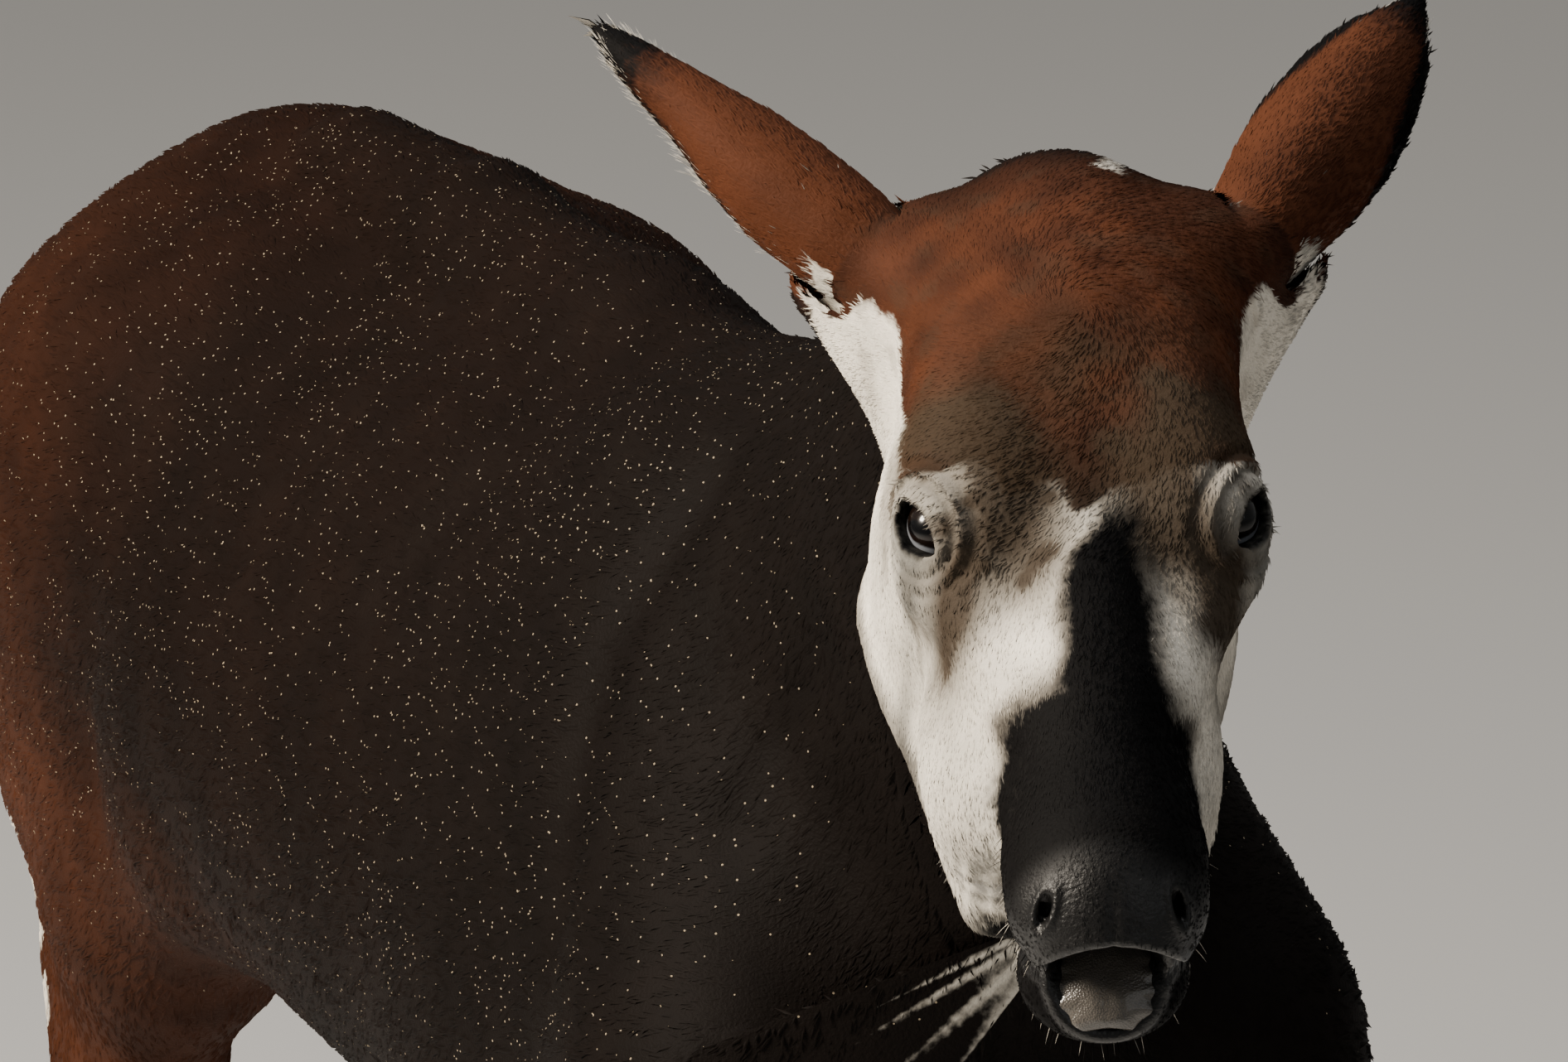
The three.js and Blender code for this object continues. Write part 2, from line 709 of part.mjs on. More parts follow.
function nostrilPit(side) {
  const start = onHead(NOSTRIL.along + 34, NOSTRIL.aside * side * 1.5, NOSTRIL.out + 8);
  const end = onHead(NOSTRIL.along - 24, NOSTRIL.aside * side * 0.7, NOSTRIL.out - 10);
  const way = unit(sub(end, start));
  const long = unit(cross(way, HEAD[1]));
  const wide = unit(cross(way, long));
  const rings = [0, 0.6, 1].map((t) => {
    const size = NOSTRIL.radius * (1 - 0.5 * t);
    const ring = [];
    for (let i = 0; i < 16; i += 1) {
      const angle = (i / 16) * Math.PI * 2;
      const offset = add(scale(long, Math.cos(angle) * size * 1.5), scale(wide, Math.sin(angle) * size));
      ring.push(add(mix(start, end, t), offset));
    }
    return ring;
  });
  return loft(rings, start, end);
}

function head() {
  let body = headSkin();
  for (const side of [-1, 1]) {
    const lids = ball(eyeCentre(side), EYE.radius + LID_THICKNESS, 20);
    body = body.add(lids).subtract(lidOpening(side));
    body = body.subtract(ball(eyeCentre(side), EYE.radius + JOINT_GAP, 16));
    body = body.subtract(nostrilPit(side)).subtract(earSleeve(side)).add(earStub(side));
  }
  return body.subtract(mouthLine()).subtract(gape()).subtract(tongue(JOINT_GAP));
}

// Ear axes: length, width across and the convex back
function earAxes(side) {
  const [aside, backward, upward] = side < 0 ? EAR_AIM.right : EAR_AIM.left;
  const length = unit(yawed([aside * side, backward, upward]));
  const facing = yawed([EAR_BACK.aside * side, EAR_BACK.back, EAR_BACK.up]);
  const back = unit(sub(facing, scale(length, dot(facing, length))));
  return { length, back, across: cross(length, back) };
}

function earRoot(side) {
  return onHead(EAR_ROOT.along, EAR_ROOT.aside * side, EAR_ROOT.out);
}

function earFrame(side) {
  const { length, back, across } = earAxes(side);
  return { centre: earRoot(side), across, back, length };
}

function earStub(side) {
  const { length, back, across } = earAxes(side);
  const root = earRoot(side);
  const rings = [-60, -30, -HALF_GAP].map((depth, n) => {
    const size = EAR_ROOT_RADIUS + 1 - n * 0.5;
    const ring = [];
    for (let i = 0; i < 24; i += 1) {
      const angle = (i / 24) * Math.PI * 2;
      const offset = add(scale(across, Math.cos(angle) * size), scale(back, Math.sin(angle) * size));
      ring.push(add(add(root, scale(length, depth)), offset));
    }
    return ring;
  });
  return loft(rings, add(root, scale(length, -60)), add(root, scale(length, -HALF_GAP)));
}

// Half the width of the ear laid flat and half the angle it wraps, from root to tip
// The right ear is rolled in further towards its tip
const EAR_FLAT = [93, 84, 73, 63, 50, 34, 6];
const EAR_WRAP = {
  right: [168, 142, 124, 120, 136, 128, 70],
  left: [168, 138, 104, 82, 68, 58, 50],
};

function graded(values, t) {
  const place = Math.min(Math.max(t, 0), 0.9999) * (values.length - 1);
  const i = Math.floor(place);
  const f = place - i;
  return values[i] + (values[i + 1] - values[i]) * f;
}

function earPoint(side, t, u, depth) {
  const { centre, across, back, length } = earFrame(side);
  const wrap = radians(graded(side < 0 ? EAR_WRAP.right : EAR_WRAP.left, t));
  const radius = graded(EAR_FLAT, t) / wrap;
  const angle = u * wrap;
  const inner = radius - depth;
  const ridge = add(centre, scale(length, HALF_GAP + EAR_LENGTH * t));
  const bow = EAR_ROOT_RADIUS + 8 * Math.sin(t * Math.PI) - radius;
  const offset = add(scale(across, Math.sin(angle) * inner), scale(back, Math.cos(angle) * inner + bow));
  return add(ridge, offset);
}

function earBlade(side) {
  const rows = 11;
  const arc = 8;
  const points = [];
  for (let r = 0; r <= rows; r += 1) {
    for (const depth of [0, EAR_WALL]) {
      for (let i = 0; i <= arc; i += 1) {
        const k = depth === 0 ? i : arc - i;
        points.push(earPoint(side, r / rows, (k / arc) * 2 - 1, depth * (1 - 0.4 * (r / rows))));
      }
    }
  }
  const loopLength = (arc + 1) * 2;
  const rings = [];
  for (let r = 0; r <= rows; r += 1) rings.push(points.slice(r * loopLength, (r + 1) * loopLength));
  return stripLoft(rings, arc);
}

// A shell through loops that run out along the outer arc and back along the inner one
function stripLoft(rings, arc) {
  const size = rings[0].length;
  const triangles = [];
  for (let r = 0; r + 1 < rings.length; r += 1) {
    for (let i = 0; i < size; i += 1) {
      const a = r * size + i;
      const b = r * size + ((i + 1) % size);
      triangles.push([a, b, b + size], [a, b + size, a + size]);
    }
  }
  const last = (rings.length - 1) * size;
  for (let i = 0; i < arc; i += 1) {
    const across = size - 1 - i;
    triangles.push([i + 1, i, across], [i + 1, across, across - 1]);
    triangles.push([last + i, last + i + 1, last + across]);
    triangles.push([last + i + 1, last + across - 1, last + across]);
  }
  return solidFrom(rings.flat(), triangles);
}

// The room that the head and neck leave round the foot of an ear
function earSleeve(side) {
  const arc = 24;
  const rows = 5;
  const rings = [];
  for (let r = 0; r <= rows; r += 1) {
    const t = -JOINT_GAP / EAR_LENGTH + (0.4 * r) / rows;
    const ring = [];
    for (let i = 0; i < arc; i += 1) {
      const u = (i / (arc - 1) - 0.5) * 2.08;
      ring.push(earPoint(side, t, u, -3 * JOINT_GAP));
    }
    rings.push(ring);
  }
  const middle = (ring) => scale(ring.reduce(add), 1 / ring.length);
  return loft(rings, middle(rings[0]), middle(rings.at(-1)));
}

function earPlug(side) {
  const { length, back, across } = earAxes(side);
  const root = earRoot(side);
  const rings = [HALF_GAP, 14, 26].map((depth, n) => {
    const size = EAR_ROOT_RADIUS - 1 - 3 * n;
    const ring = [];
    for (let i = 0; i < 24; i += 1) {
      const angle = (i / 24) * Math.PI * 2;
      const offset = add(scale(across, Math.cos(angle) * size), scale(back, Math.sin(angle) * size));
      ring.push(add(add(root, scale(length, depth)), offset));
    }
    return ring;
  });
  return loft(rings, add(root, scale(length, HALF_GAP)), add(root, scale(length, 20)));
}

function ear(side) {
  return earBlade(side).add(earPlug(side));
}

// The tail leaves the rump backwards and then hangs down
function tailPath(t) {
  const swing = 20 * Math.sin(Math.min(t * 5, 1) * Math.PI * 0.5) - 12 * Math.max(t - 0.4, 0);
  return [0, TAIL_ROOT.y + swing, TAIL_ROOT.z - TAIL_LENGTH * t];
}

function tailRing(t, radius, segments) {
  const start = scale(axisOf(tailBaseFrame()), -1);
  const way = t > 0 ? unit(sub(tailPath(t + 0.01), tailPath(t - 0.01))) : start;
  const up = unit(cross(way, X_AXIS));
  const ring = [];
  for (let i = 0; i < segments; i += 1) {
    const angle = (i / segments) * Math.PI * 2;
    const offset = add(scale(X_AXIS, Math.cos(angle) * radius), scale(up, Math.sin(angle) * radius));
    ring.push(add(tailPath(t), offset));
  }
  return ring;
}

// The bare dock of the tail, thick at the root and slim in the tuft
function tailDock() {
  const rings = [];
  for (let n = 0; n <= 12; n += 1) {
    const t = n / 12;
    rings.push(tailRing(t, DOCK.root + (DOCK.tip - DOCK.root) * Math.min(t * 2.2, 1), 12));
  }
  const root = scale(axisOf(tailBaseFrame()), -HALF_GAP);
  rings[0] = rings[0].map((point) => add(point, root));
  return loft(rings, add(tailPath(0), root), add(tailPath(1), [0, 0, -DOCK.tip]));
}

// Steady random numbers from 0 to 1
function seeded(seed) {
  let state = seed;
  return () => {
    state = (state * 1664525 + 1013904223) % 4294967296;
    return state / 4294967296;
  };
}

// One lock of the tuft: flat, tapering, spreading from the dock and closing in at its tip
function tuftLock(random, index) {
  const turn = index * GOLDEN_TURN + random() * 0.5;
  const start = LOCK.first + (LOCK.last - LOCK.first) * ((index + random()) / LOCK.count);
  const size = LOCK.length * (0.8 + 0.35 * random());
  const spread = LOCK.spread * (0.6 + 0.6 * random());
  const sweep = LOCK.sweep * (random() * 2 - 1);
  const outward = [Math.cos(turn), Math.sin(turn), 0];
  const sideways = [-outward[1], outward[0], 0];
  const rings = [];
  for (let n = 0; n < LOCK.rows; n += 1) {
    const s = n / LOCK.rows;
    const width = LOCK.width * (1 - s ** 1.6) * (0.6 + 1.2 * s * (1 - s));
    const thick = LOCK.thickness * (1 - 0.7 * s);
    const centre = lockPoint(start, size, spread, sweep, outward, sideways, s);
    const corners = [[width, 0], [0, thick], [-width, 0], [0, -thick]];
    rings.push(corners.map(([w, d]) => add(centre, add(scale(sideways, w), scale(outward, d)))));
  }
  const root = lockPoint(start, size, spread, sweep, outward, sideways, 0);
  return loft(rings, root, lockPoint(start, size, spread, sweep, outward, sideways, 1));
}

function lockPoint(start, size, spread, sweep, outward, sideways, s) {
  const away = 2 + spread * Math.sin(Math.min(s * 1.25, 1) * Math.PI * 0.72);
  const base = add(tailPath(start), scale(outward, away));
  return add(base, add(scale(sideways, sweep * s * s), [0, 0, -size * s]));
}

// The tail and its tuft as one body
function tail() {
  const random = seeded(11);
  const locks = Array.from({ length: LOCK.count }, (_, index) => tuftLock(random, index));
  const joined = wasm.Manifold.union([tailDock(), ...locks]);
  return joined.decompose().sort((a, b) => b.volume() - a.volume())[0];
}

function pushNode(target, name, solid, finish) {
  const { triVerts, vertProperties } = solid.getMesh();
  const raw = new THREE.BufferGeometry();
  raw.setAttribute('position', new THREE.BufferAttribute(vertProperties, 3));
  raw.setIndex(new THREE.BufferAttribute(triVerts, 1));
  const geometry = mergeVertices(raw, 1e-3);
  const mesh = new THREE.Mesh(geometry, finish);
  mesh.name = name;
  target.add(mesh);
}

const group = new THREE.Group();
group.name = 'okapi';
pushNode(group, 'torso', torso(), HIDE);
pushNode(group, 'neck', neck(), HIDE);
pushNode(group, 'head', head(), BROWN);
pushNode(group, 'tongue', tongue(), TONGUE_GREY);
pushNode(group, 'tail', tail(), TUFT_BLACK);
for (const [word, side] of [['right', -1], ['left', 1]]) {
  pushNode(group, `ear_${word}`, ear(side), BROWN);
  pushNode(group, `eye_${word}`, ball(eyeCentre(side), EYE.radius, 16), EYE_DARK);
  for (const leg of ['front', 'hind']) {
    pushNode(group, `${leg}_leg_${word}`, lowerLeg(leg, side), PALE);
    pushNode(group, `${leg}_hoof_${word}`, hoof(leg, side), DARK_HORN);
  }
}

// The frame's origin is on the floor under the middle of the whole animal
const box = new THREE.Box3().setFromObject(group);
const middle = box.getCenter(new THREE.Vector3());
group.position.set(-middle.x, -middle.y, -box.min.z);

export default group;
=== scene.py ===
"""A life-size okapi cow, standing, as a still museum model: skin, coat, eyes, mouth and hooves."""

import logging
import math
from dataclasses import dataclass, field
from enum import Enum
from typing import Callable, Iterable, Optional, Sequence

import bmesh
import bpy
import numpy as np
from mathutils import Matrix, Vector


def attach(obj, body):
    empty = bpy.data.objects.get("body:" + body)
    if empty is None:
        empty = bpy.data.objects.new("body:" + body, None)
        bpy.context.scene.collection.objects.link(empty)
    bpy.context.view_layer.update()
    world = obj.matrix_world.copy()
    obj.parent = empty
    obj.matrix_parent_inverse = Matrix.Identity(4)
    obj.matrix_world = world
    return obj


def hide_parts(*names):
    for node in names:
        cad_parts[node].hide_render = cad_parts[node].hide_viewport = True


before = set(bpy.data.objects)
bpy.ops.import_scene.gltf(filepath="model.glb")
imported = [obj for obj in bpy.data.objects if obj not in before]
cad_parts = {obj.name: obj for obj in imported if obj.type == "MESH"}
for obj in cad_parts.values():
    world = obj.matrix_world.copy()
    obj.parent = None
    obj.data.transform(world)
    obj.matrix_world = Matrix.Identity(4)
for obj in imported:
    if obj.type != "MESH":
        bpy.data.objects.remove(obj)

LOG = logging.getLogger("okapi")
Array = np.ndarray
Vector3 = Sequence[float]

# The body is described in millimetres, its withers over y = 0; the frame's middle lies further back
MIDDLE_Y = 174.410
MILLIMETRE = 0.001

# Head frame: origin at the poll, turned to the animal's right and tipped down
HEAD_ORIGIN = np.array((-20.0, -400.0, 1681.0))
HEAD_YAW, HEAD_PITCH, HEAD_ROLL = -18.0, 62.0, 1.0
JAW_SWING = 12.0
X_AXIS = (1.0, 0.0, 0.0)
UP = np.array((0.0, 0.0, 1.0))


def to_frame(points: Array) -> Array:
    """Turns body millimetres into metres of the shared frame."""
    return (points - (0.0, MIDDLE_Y, 0.0)) * MILLIMETRE


def to_body(points: Array) -> Array:
    """Turns metres of the shared frame into body millimetres."""
    return points / MILLIMETRE + (0.0, MIDDLE_Y, 0.0)


def unit(vector: Vector3) -> Array:
    """Returns the vector at length one."""
    made = np.asarray(vector, float)
    return made / np.linalg.norm(made)


def units(vectors: Array) -> Array:
    """Returns each row at length one."""
    return vectors / np.maximum(np.linalg.norm(vectors, axis=1), 1e-9)[:, None]


def smooth(low: float, high: float, value: Array) -> Array:
    """A soft step from 0 at low to 1 at high."""
    t = np.clip((value - low) / (high - low), 0, 1)
    return t * t * (3 - 2 * t)


def yawed(vector: Vector3) -> Array:
    """Turns a vector by the yaw of the head."""
    c, s = math.cos(math.radians(HEAD_YAW)), math.sin(math.radians(HEAD_YAW))
    return np.array((vector[0] * c - vector[1] * s, vector[0] * s + vector[1] * c, vector[2]))


def head_axes() -> Array:
    """The head's directions: to the nose, to its left, and out of the face."""
    pitch, roll = math.radians(HEAD_PITCH), math.radians(HEAD_ROLL)
    nose = np.array((0, -math.sin(pitch), -math.cos(pitch)))
    brow = np.array((0, -math.cos(pitch), math.sin(pitch)))
    left = np.array(X_AXIS) * math.cos(roll) + brow * math.sin(roll)
    out = -np.array(X_AXIS) * math.sin(roll) + brow * math.cos(roll)
    return np.array([yawed(axis) for axis in (nose, left, out)])


HEAD = head_axes()
HEAD_BASE_AXIS = HEAD[0] * 0.858 + HEAD[2] * 0.515


def on_head(along: float, aside: float, out: float) -> Array:
    """A point of the head frame in body millimetres."""
    return HEAD_ORIGIN + np.array((along, aside, out)) @ HEAD


def to_head(points: Array) -> Array:
    """Body points in the head frame: along the face, aside to the left, out of the face."""
    return (points - HEAD_ORIGIN) @ HEAD.T


HEAD_BASE = on_head(44, 0, -70)
SEAM_AXIS = HEAD_BASE_AXIS / np.linalg.norm(HEAD_BASE_AXIS)


@dataclass(frozen=True)
class Mass:
    """A rounded mass of muscle or bone."""

    centre: Vector3
    radii: Vector3
    blend: float
    axes: Sequence[Vector3] = ((1, 0, 0), (0, 1, 0), (0, 0, 1))

    def distance(self, p: Array) -> Array:
        """Distance to the surface, negative inside."""
        radii = np.asarray(self.radii, float)
        q = (p - np.asarray(self.centre, float)) @ np.asarray(self.axes, float).T / radii
        near = np.sqrt((q * q).sum(1))
        far = np.sqrt(((q / radii) ** 2).sum(1))
        return near * (near - 1) / np.maximum(far, 1e-9)

    def bounds(self) -> tuple:
        """Middle and radius of a ball round it."""
        return np.asarray(self.centre, float), max(self.radii)

    def mirrored(self) -> "Mass":
        """The same mass on the other side of the body."""
        flip = np.array((-1.0, 1, 1))
        return Mass(np.asarray(self.centre) * flip, self.radii, self.blend, np.asarray(self.axes) * flip)


@dataclass(frozen=True)
class Limb:
    """A tapering limb, squeezed along its side axis by the factor flat."""

    start: Vector3
    end: Vector3
    start_radius: float
    end_radius: float
    blend: float
    flat: float = 1.0
    side: Vector3 = X_AXIS

    def distance(self, p: Array) -> Array:
        """Distance to the surface, negative inside."""
        start = np.asarray(self.start, float)
        along = np.asarray(self.end, float) - start
        offset = p - start
        t = np.clip(offset @ along / (along @ along), 0, 1)
        offset = offset - t[:, None] * along
        side = np.asarray(self.side, float)
        offset = offset + np.outer((offset @ side) * (1 / self.flat - 1), side)
        radius = self.start_radius + (self.end_radius - self.start_radius) * t
        return (np.sqrt((offset * offset).sum(1)) - radius) * min(self.flat, 1.0)

    def bounds(self) -> tuple:
        """Middle and radius of a ball round it."""
        start, end = np.asarray(self.start, float), np.asarray(self.end, float)
        return (start + end) / 2, np.linalg.norm(end - start) / 2 + max(self.start_radius, self.end_radius)

    def mirrored(self) -> "Limb":
        """The same limb on the other side of the body."""
        flip = np.array((-1.0, 1, 1))
        start, end = np.asarray(self.start) * flip, np.asarray(self.end) * flip
        return Limb(start, end, self.start_radius, self.end_radius, self.blend, self.flat,
                    np.asarray(self.side) * flip)


def both(shapes: Iterable) -> list:
    """Each shape with its mirror image."""
    return [made for shape in shapes for made in (shape, shape.mirrored())]


def head_mass(centre: Vector3, radii: Vector3, blend: float) -> Mass:
    """A mass given in the head frame."""
    return Mass(on_head(*centre), radii, blend, HEAD)


def head_limb(start: Vector3, end: Vector3, first: float, last: float, blend: float,
              flat: float = 1.0) -> Limb:
    """A limb given in the head frame."""
    return Limb(on_head(*start), on_head(*end), first, last, blend, flat, HEAD[1])


def tipped(degrees: float) -> tuple:
    """Axes turned about X, the top towards the tail."""
    c, s = math.cos(math.radians(degrees)), math.sin(math.radians(degrees))
    return ((1, 0, 0), (0, c, -s), (0, s, c))


def trunk_shapes() -> list:
    """Chest, belly, rump, shoulders and thighs."""
    trunk = [
        Mass((0, 150, 1158), (240, 470, 284), 60),
        Mass((0, 545, 1126), (262, 480, 244), 120),
        Mass((0, 835, 1190), (226, 270, 176), 110),
        Mass((0, -165, 1135), (150, 150, 205), 90),
        Limb((0, -60, 1394), (0, 300, 1386), 60, 56, 80, 0.62),
        Limb((0, 330, 1396), (0, 600, 1388), 56, 60, 60, 0.9),
        Limb((0, 600, 1384), (0, 840, 1354), 60, 60, 14, 0.9),
        Mass((0, 20, 962), (118, 220, 92), 80),
        Mass((0, 975, 1214), (160, 118, 138), 80),
        Limb((0, 930, 1316), (0, 1060, 1276), 48, 32, 70),
    ]
    shoulder = [
        Limb((92, 50, 1372), (170, -215, 1125), 60, 98, 90, 0.64),
        Mass((158, 40, 1050), (66, 128, 150), 80),
        Limb((160, -215, 1110), (148, 30, 920), 86, 62, 70, 0.74),
        Limb((136, 92, 955), (134, 62, 870), 34, 24, 50),
    ]
    thigh = [
        Mass((144, 905, 1056), (94, 185, 224), 90),
        Limb((136, 820, 1150), (152, 790, 905), 98, 66, 80, 0.72),
        Limb((104, 1030, 1140), (130, 985, 815), 74, 40, 70, 0.78),
        Mass((156, 785, 1242), (54, 85, 54), 76),
        Limb((150, 760, 930), (180, 590, 1015), 44, 34, 100),
    ]
    return trunk + both(shoulder) + both(thigh)


def head_shapes() -> list:
    """Neck, skull, cheeks and jaw."""
    shapes = [
        Limb((0, -40, 1285), (0, -240, 1440), 196, 138, 90, 0.7),
        Limb((0, -240, 1440), (-14, -378, 1616), 138, 108, 60, 0.68),
        Limb((0, -20, 1446), (-14, -335, 1668), 40, 34, 60, 0.7),
        Limb((0, -285, 1262), (-16, -418, 1490), 58, 50, 60),
        head_mass((92, 0, 2), (122, 76, 82), 50),
        head_mass((72, 0, 30), (88, 76, 44), 44),
        head_mass((8, 0, -5), (60, 62, 72), 40),
        head_limb((200, 0, 16), (446, 0, -6), 46, 37, 40, 0.92),
        head_limb((230, 0, -34), (430, 0, -32), 56, 44, 44, 0.98),
        head_limb((50, 0, -70), (200, 0, -104), 62, 42, 50),
        head_mass((442, 0, -14), (63, 52, 37), 30),
        head_mass((470, 0, -22), (34, 48, 26), 22),
        head_limb((330, 0, -70), (436, 0, -76), 38, 32, 26, 1.05),
        head_limb((290, 0, -108), (420, 0, -98), 30, 27, 24, 1.2),
        head_mass((450, 0, -91), (42, 47, 29), 24),
    ]
    for side in (-1, 1):
        shapes += [
            head_mass((206, 62 * side, 34), (50, 36, 30), 36),
            head_mass((120, 56 * side, 34), (90, 30, 34), 40),
            head_limb((235, 76 * side, 4), (330, 38 * side, 2), 24, 16, 32),
            head_mass((166, 60 * side - JAW_SWING, -64), (84, 43, 86), 40),
            head_limb((140, 62 * side - JAW_SWING, -134), (374, 42 * side - JAW_SWING, -108), 44, 22, 34),
            head_mass((318, 50 * side - JAW_SWING, -56), (72, 34, 42), 34),
            head_limb((44, 40 * side, 8), (24, 84 * side, 20), 52, 38, 40),
            head_limb((20, 66 * side, 0), (52, 58 * side, -70), 38, 34, 44),
            head_limb((46, 62 * side, -48), (4, 124 * side, 0), 44, 29, 26),
        ]
    return shapes


def leg_shapes() -> list:
    """Fore and hind legs down to the coronets."""
    front = [
        Limb((144, 20, 905), (125, -6, 505), 62, 33, 50, 0.8),
        Mass((138, 2, 800), (50, 66, 130), 40),
        Mass((124, -12, 478), (37, 39, 60), 30),
        Mass((124, 30, 502), (14, 17, 26), 20),
        Limb((123, -6, 440), (122, -8, 172), 24, 23, 25),
        Limb((123, 18, 440), (122, 18, 166), 12, 13, 14),
        Mass((122, 3, 148), (32, 36, 37), 24),
        Limb((122, -4, 130), (122, -40, 66), 29, 32, 20, 1.1),
    ]
    hind = [
        Limb((150, 826, 870), (127, 1002, 520), 72, 33, 60, 0.8),
        Mass((140, 925, 760), (45, 74, 130), 50, tipped(18)),
        Limb((130, 962, 770), (126, 1034, 548), 50, 32, 34, 0.5),
        Mass((126, 1020, 492), (34, 45, 62), 30),
        Limb((126, 1068, 566), (125, 1046, 470), 19, 19, 24),
        Limb((130, 985, 800), (126, 1070, 580), 36, 14, 30),
        Limb((125, 1022, 450), (123, 1000, 172), 28, 24, 25),
        Limb((125, 1050, 450), (123, 1026, 168), 13, 14, 14),
        Mass((123, 1007, 150), (32, 37, 37), 24),
        Limb((123, 1000, 132), (123, 962, 66), 29, 32, 20, 1.1),
    ]
    return both(front) + both(hind)


@dataclass(frozen=True)
class Dock:
    """The fleshy part of the tail."""

    root: Vector3 = (0, 1138, 1262)
    length: float = 340
    swing: float = 20
    root_radius: float = 25
    tip_radius: float = 11
    ends: float = 0.72

    def point(self, t: Array) -> Array:
        """Points along the tail, 0 at the root and 1 at the end of the bone."""
        t = np.atleast_1d(np.asarray(t, float))
        bend = self.swing * np.sin(np.minimum(t * 5, 1) * math.pi / 2) - 12 * np.maximum(t - 0.4, 0)
        return np.stack([t * 0, self.root[1] + bend, self.root[2] - self.length * t], 1)

    def radius(self, t: Array) -> Array:
        """Radius along the tail."""
        return self.root_radius + (self.tip_radius - self.root_radius) * np.minimum(np.asarray(t) * 2.2, 1)

    def shapes(self) -> list:
        """The dock as short limbs for the body form."""
        stops = np.array((-0.04, 0.06, 0.14, 0.3, 0.5, self.ends))
        centres, radii = self.point(stops), self.radius(np.maximum(stops, 0))
        pairs = zip(centres, centres[1:], radii, radii[1:])
        return [Limb(a, b, float(first), float(last), 12) for a, b, first, last in pairs]


@dataclass(frozen=True)
class Crease:
    """A groove in the skin along a few points."""

    points: Sequence[Vector3]
    depth: float
    width: float

    def pressed(self, p: Array) -> Array:
        """How far the groove sinks the skin at each point."""
        line = [np.asarray(point, float) for point in self.points]
        near = np.full(len(p), 1e9)
        ends = np.zeros(len(p))
        for i, (a, b) in enumerate(zip(line, line[1:])):
            along = b - a
            t = np.clip((p - a) @ along / (along @ along), 0, 1)
            d = np.linalg.norm(p - a - t[:, None] * along, axis=1)
            ends = np.where(d < near, (i + t) / (len(line) - 1), ends)
            near = np.minimum(near, d)
        fade = smooth(0, 0.2, ends) * smooth(0, 0.2, 1 - ends)
        return self.depth * fade * np.exp(-((near / self.width) ** 2))

    def mirrored(self) -> "Crease":
        """The same groove on the other side of the body."""
        return Crease([np.asarray(point) * (-1, 1, 1) for point in self.points], self.depth, self.width)


def body_creases() -> list:
    """The folds of neck, shoulder, ribs and flank."""
    right = [
        Crease(((-88, -50, 1500), (-112, -62, 1452), (-172, -62, 1370), (-205, -92, 1260),
                (-214, -120, 1150)), 9, 22),
        Crease(((-108, -271, 1446), (-125, -221, 1350), (-168, -225, 1276)), 6, 20),
        Crease(((-143, 451, 1365), (-216, 443, 1280), (-252, 501, 1190)), 6, 24),
        Crease(((-116, 209, 1416), (-190, 216, 1340), (-225, 240, 1280)), 6, 26),
        Crease(((-250, 620, 1190), (-215, 700, 1060), (-190, 705, 960)), 8, 26),
        Crease(((-200, 60, 1120), (-190, 130, 1010), (-165, 120, 930)), 7, 24),
    ]
    return right + [crease.mirrored() for crease in right]


@dataclass(frozen=True)
class EyeSetting:
    """Where the eye sits and how its lids open."""

    along: float = 218
    aside: float = 77
    out: float = 26
    radius: float = 21
    sight: Vector3 = (0.5, 0.72, 0.48)
    half_length: float = 21
    half_height: float = 12.0
    lid: float = 4.2

    def centre(self, side: int) -> Array:
        """The eyeball's centre."""
        return on_head(self.along, self.aside * side, self.out)

    def axes(self, side: int) -> tuple:
        """Line of sight, the long way of the opening and the short way across it."""
        forward, outward, upward = self.sight
        sight = unit(np.array((forward, outward * side, upward)) @ HEAD)
        slant = HEAD[0] * 0.88 - HEAD[1] * 0.42 * side
        long = unit(slant - sight * (slant @ sight))
        short = np.cross(long, sight) * side
        return sight, long, short

    def gap(self, along: Array, across: Array) -> Array:
        """Distance to the almond opening between the lids, negative inside it."""
        t = np.clip(np.abs(along) / self.half_length, 0, 1)
        edge = self.half_height * np.sqrt(1 - t * t) * (1 - 0.3 * t)
        return np.maximum(np.abs(across) - edge, np.abs(along) - self.half_length)


EYE = EyeSetting()


